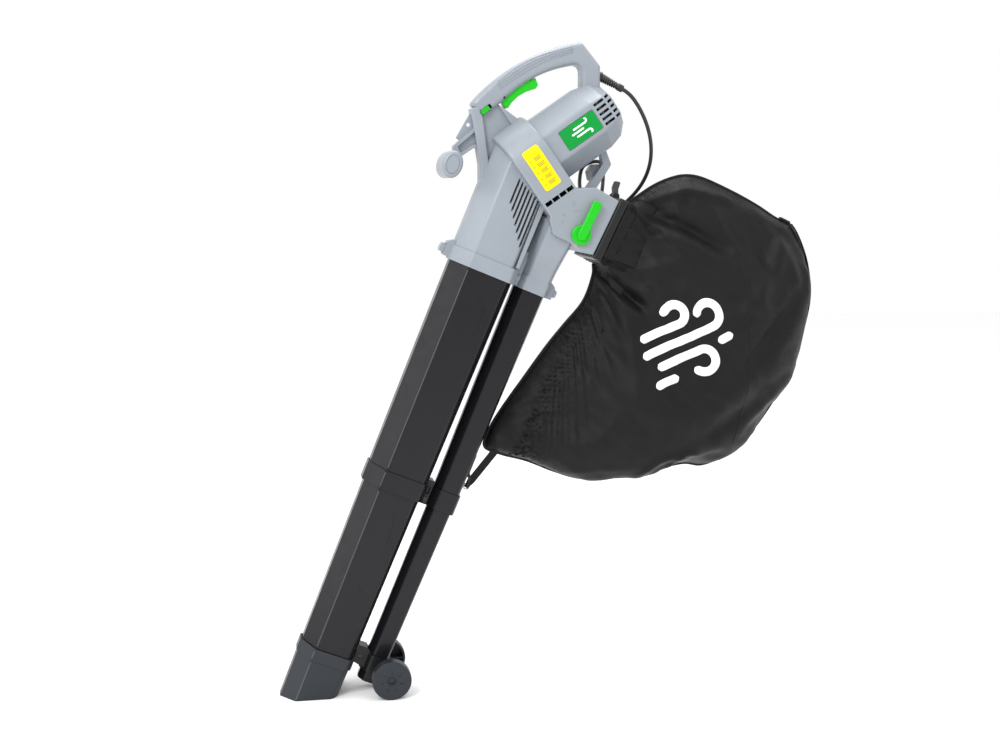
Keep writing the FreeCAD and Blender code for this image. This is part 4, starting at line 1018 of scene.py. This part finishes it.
# ---- prints, ribs and marks
def bag_print(materials, bag):
    """Plain white drawing of three curling lines of wind, with two short dashes."""
    tree = skin_of(bag)
    turn = math.radians(24)
    center = np.array((0.218, -0.452))

    def placed_at(points):
        return [tuple(center + np.array((x * math.cos(turn) - z * math.sin(turn),
                                         x * math.sin(turn) + z * math.cos(turn))) * MM) for x, z in points]

    # strokes in mm around the middle of the drawing, before it is turned
    lines = [
        [(-66, 26), (-30, 26), (-4, 26)] + arc((2, 43), 17, -90, 165),
        [(-74, -1), (-10, -1), (46, -1)] + arc((54, 19), 20, -90, 165),
        [(-58, -28), (-14, -28), (10, -28)] + arc((18, -47), 19, 90, -165),
        [(52, -28), (80, -28)],
        [(-74, -55), (-32, -55)],
    ]
    strips = [raised_strip(tree, placed_at(line), 0.0145, 0.0005, sunk=0.0003) for line in lines]
    return add_joined("bag_print", strips, materials["print_white"])


def bag_stitching(materials, bag):
    """Panel seam down each side and a row of stitches inside the bound edge."""
    tree = skin_of(bag)
    panel = [(x * MM, z * MM) for x, z in ((334, -240), (337, -325), (336, -442), (330, -562), (318, -640))]
    strips = [raised_strip(tree, panel, 0.0026, 0.0005, side, 0.005) for side in SIDES]
    seam, out = seam_frame()
    row = resampled([p - o * 0.0095 for p, o in zip(seam, out)][4:-4], 0.0014)
    for side in SIDES:
        for i in range(0, len(row) - 3, 3):
            strips.append(raised_strip(tree, [row[i], row[i + 2]], 0.0008, 0.0004, side, 0.0014, 0.0003, 2))
    return add_joined("bag_stitching", strips, materials["webbing"], slot="bag_fabric")


def badge_mark(materials):
    """Small white lines of wind on the green badge, on both sides."""
    strips = []
    for side, node in ((-1, "badge_left"), (1, "badge_right")):
        tree = skin_of(frame["nodes"][node])
        for x, z0, z1, curl in ((-6.5, 110, 134, 1), (0.0, 104, 128, 0), (6.5, 110, 134, -1)):
            line = [in_motor(x, z0), in_motor(x, (z0 + z1) / 2), in_motor(x, z1)]
            if curl:
                line += [in_motor(x - curl * 2.0, z1 + 3.4), in_motor(x - curl * 5.0, z1 + 3.6),
                         in_motor(x - curl * 6.4, z1 + 0.6)]
            strips.append(raised_strip(tree, seen_along_y(line), 0.0030, 0.00025, side, 0.0015, 0.0003))
    add_joined("badge_mark", strips, materials["print_white"])


def sticker_marks(materials):
    """Neutral dots and bars in rows on the yellow sticker."""
    tree = skin_of(frame["nodes"]["sticker"])
    strips = []
    for row in range(5):
        x = -5.0 + 11.0 * row
        dot = [in_motor(x - 0.9, 22.5), in_motor(x + 0.9, 22.5)]
        strips.append(raised_strip(tree, seen_along_y(dot), 0.0022, 0.00012, -1, 0.0006, 0.0002))
        for lift, stop in ((-1.8, 43.0), (0.4, 40.5), (2.6, 42.0)):
            line = [in_motor(x + lift, 28.0), in_motor(x + lift, stop)]
            strips.append(raised_strip(tree, seen_along_y(line), 0.0008, 0.00012, -1, 0.0015, 0.0002))
    add_joined("sticker_marks", strips, materials["print_black"], slot="hard_black")


def housing_marks(materials):
    """Raised grip ribs along the handle and the small marks beside the diverter lever."""
    tree = skin_of(frame["nodes"]["housing_left"])
    strips = []
    for line in (((-84, -34), (-48, -7), (-10, 11), (40, 25)),
                 ((-83, -37.5), (-45, -10.5), (-7, 7.8), (42, 22)),
                 ((-81, -41), (-41, -14), (-4, 4.6), (43, 19)),
                 ((-79, -44.5), (-38, -17.5), (-1, 1.4), (43, 16))):
        path = [(x * MM, z * MM) for x, z in line]
        strips.append(raised_strip(tree, path, 0.0017, 0.0007, -1, 0.003, 0.0006))
    for p, q, radius in ((91.7, 159.3, 3.2), (83.2, 136.9, 1.8), (86.2, 125.1, 1.8)):
        middle = in_tube(p, q)
        ring = arc((middle.x, middle.z), radius * MM, 0, 352, count=24)
        strips.append(raised_strip(tree, ring, 0.0006, 0.0003, -1, 0.001, 0.0004))
    swing = [in_tube(p, q) for p, q in ((95.0, 146.7), (101, 151), (108.3, 154.2))]
    strips.append(raised_strip(tree, seen_along_y(swing), 0.0008, 0.0003, -1, 0.002, 0.0004))
    add_joined("housing_ribs", strips, materials["housing_grey"], slot="housing_grey")


def louvre_painted_shade(materials):
    """Black strips on the floors of the seven louvre grooves in each side of the suction duct: painted shade
    that makes the blind grooves read as open slots.
    """
    strips = []
    count, first, last, to_middle = 7, -4.0, 37.5, 1.8
    for node, side in (("housing_left", -1), ("housing_right", 1)):
        tree = skin_of(frame["nodes"][node])
        for i in range(count):
            share = i / (count - 1)
            p = first + (last - first) * share + to_middle
            ends = [in_tube(p, 120.8 - 60.0 * share), in_tube(p, 163.2 - 20.0 * share)]
            strips.append(raised_strip(tree, seen_along_y(ends), 0.0030, 0.0002, side, 0.004, 0.0004))
    # black strips laid in the grooves as painted shade
    add_joined("louvre_painted_shade", strips, materials["hard_black"], slot="hard_black")


def vent_shade_screens(materials):
    """Wavy black sheets behind the cooling slots in each side of the motor cover: dust screens drawn solid,
    whose black paints the shade seen through the slots.
    """
    screens = []
    steps, half_thick, wave = 45, 0.4, 0.6
    for z0, z1, deep in ((159.5, 182.5, 41.2), (184.4, 196.6, 29.2)):
        for side in SIDES:
            sections = []
            for i in range(steps):
                x = -24.0 + 44.0 * i / (steps - 1)
                y = deep + wave * math.sin(1.3 * i)
                sections.append([in_motor(x, z, side * (y + half_thick)) for z in (z0, z1)]
                                + [in_motor(x, z, side * (y - half_thick)) for z in (z1, z0)])
            screens.append(sweep(sections))
    # solid black sheets: painted shade behind the vents
    add_joined("vent_shade_screens", screens, materials["hard_black"], slot="hard_black")


def tube_marks(materials):
    """Faint moulded chevron lines on the suction tube's flat sides."""
    strips = []
    lines = (("suction_tube_upper", [(6.0, -28.2), (24.5, -54.4), (23.2, -103.7)]),
             ("suction_tube_lower", [(12.6, -423.6), (20.7, -440.3), (22.4, -475.6)]),
             ("suction_tube_lower", [(3.1, -556.3), (20.9, -576.7)]))
    for node, line in lines:
        tree = skin_of(frame["nodes"][node])
        for a, b in zip(line, line[1:]):
            ends = seen_along_y([in_tube(*a), in_tube(*b)])
            for side in SIDES:
                strips.append(raised_strip(tree, ends, 0.0012, 0.0004, side, 0.004, 0.0004))
    add_joined("tube_marks", strips, materials["tube_black"], slot="tube_black")


def painted_ridge_highlights(materials):
    """Raised strips in a lighter plastic where the flanks of the suction tube and nozzle meet their flat
    sides: painted highlights along these ridges.
    """
    runs = {"tube": (("suction_tube_upper", (-25.2, -2.0), (-24.0, -359.5)),
                     ("suction_tube_lower", (-25.2, -362.5), (-25.2, -391.0)),
                     ("suction_tube_lower", (-22.9, -395.0), (-20.4, -683.5))),
            "slate": (("nozzle", (-21.9, -686.5), (-21.9, -703.5)),
                      ("nozzle", (-20.6, -707.0), (-19.6, -786.0)))}
    for name, slot in (("tube", "tube_black"), ("slate", "slate")):
        strips = []
        for node, *line in runs[name]:
            tree = skin_of(frame["nodes"][node])
            ends = seen_along_y([in_tube(*end) for end in line])
            for side in SIDES:
                strips.append(raised_strip(tree, ends, 0.0019, 0.00025, side, 0.006, 0.0003))
        # lighter strips as painted highlights on the ridges
        add_joined("ridges_" + name, strips, materials["ridge_" + name], slot=slot)


make_camera()
make_studio()
materials = make_materials()
mains_lead(materials)
strain_relief(materials)
paint_frame(materials)
bag = filled_bag(materials)
binding = edge_binding(materials)
tape = zip_tape(materials)
zip_teeth(materials)
bag_cuff(materials)
neck = bag_neck(materials, bag)
corner_strap(materials)
drawing = bag_print(materials, bag)
stitching = bag_stitching(materials, bag)
springs(materials)
badge_mark(materials)
sticker_marks(materials)
housing_marks(materials)
painted_ridge_highlights(materials)
louvre_painted_shade(materials)
vent_shade_screens(materials)
tube_marks(materials)
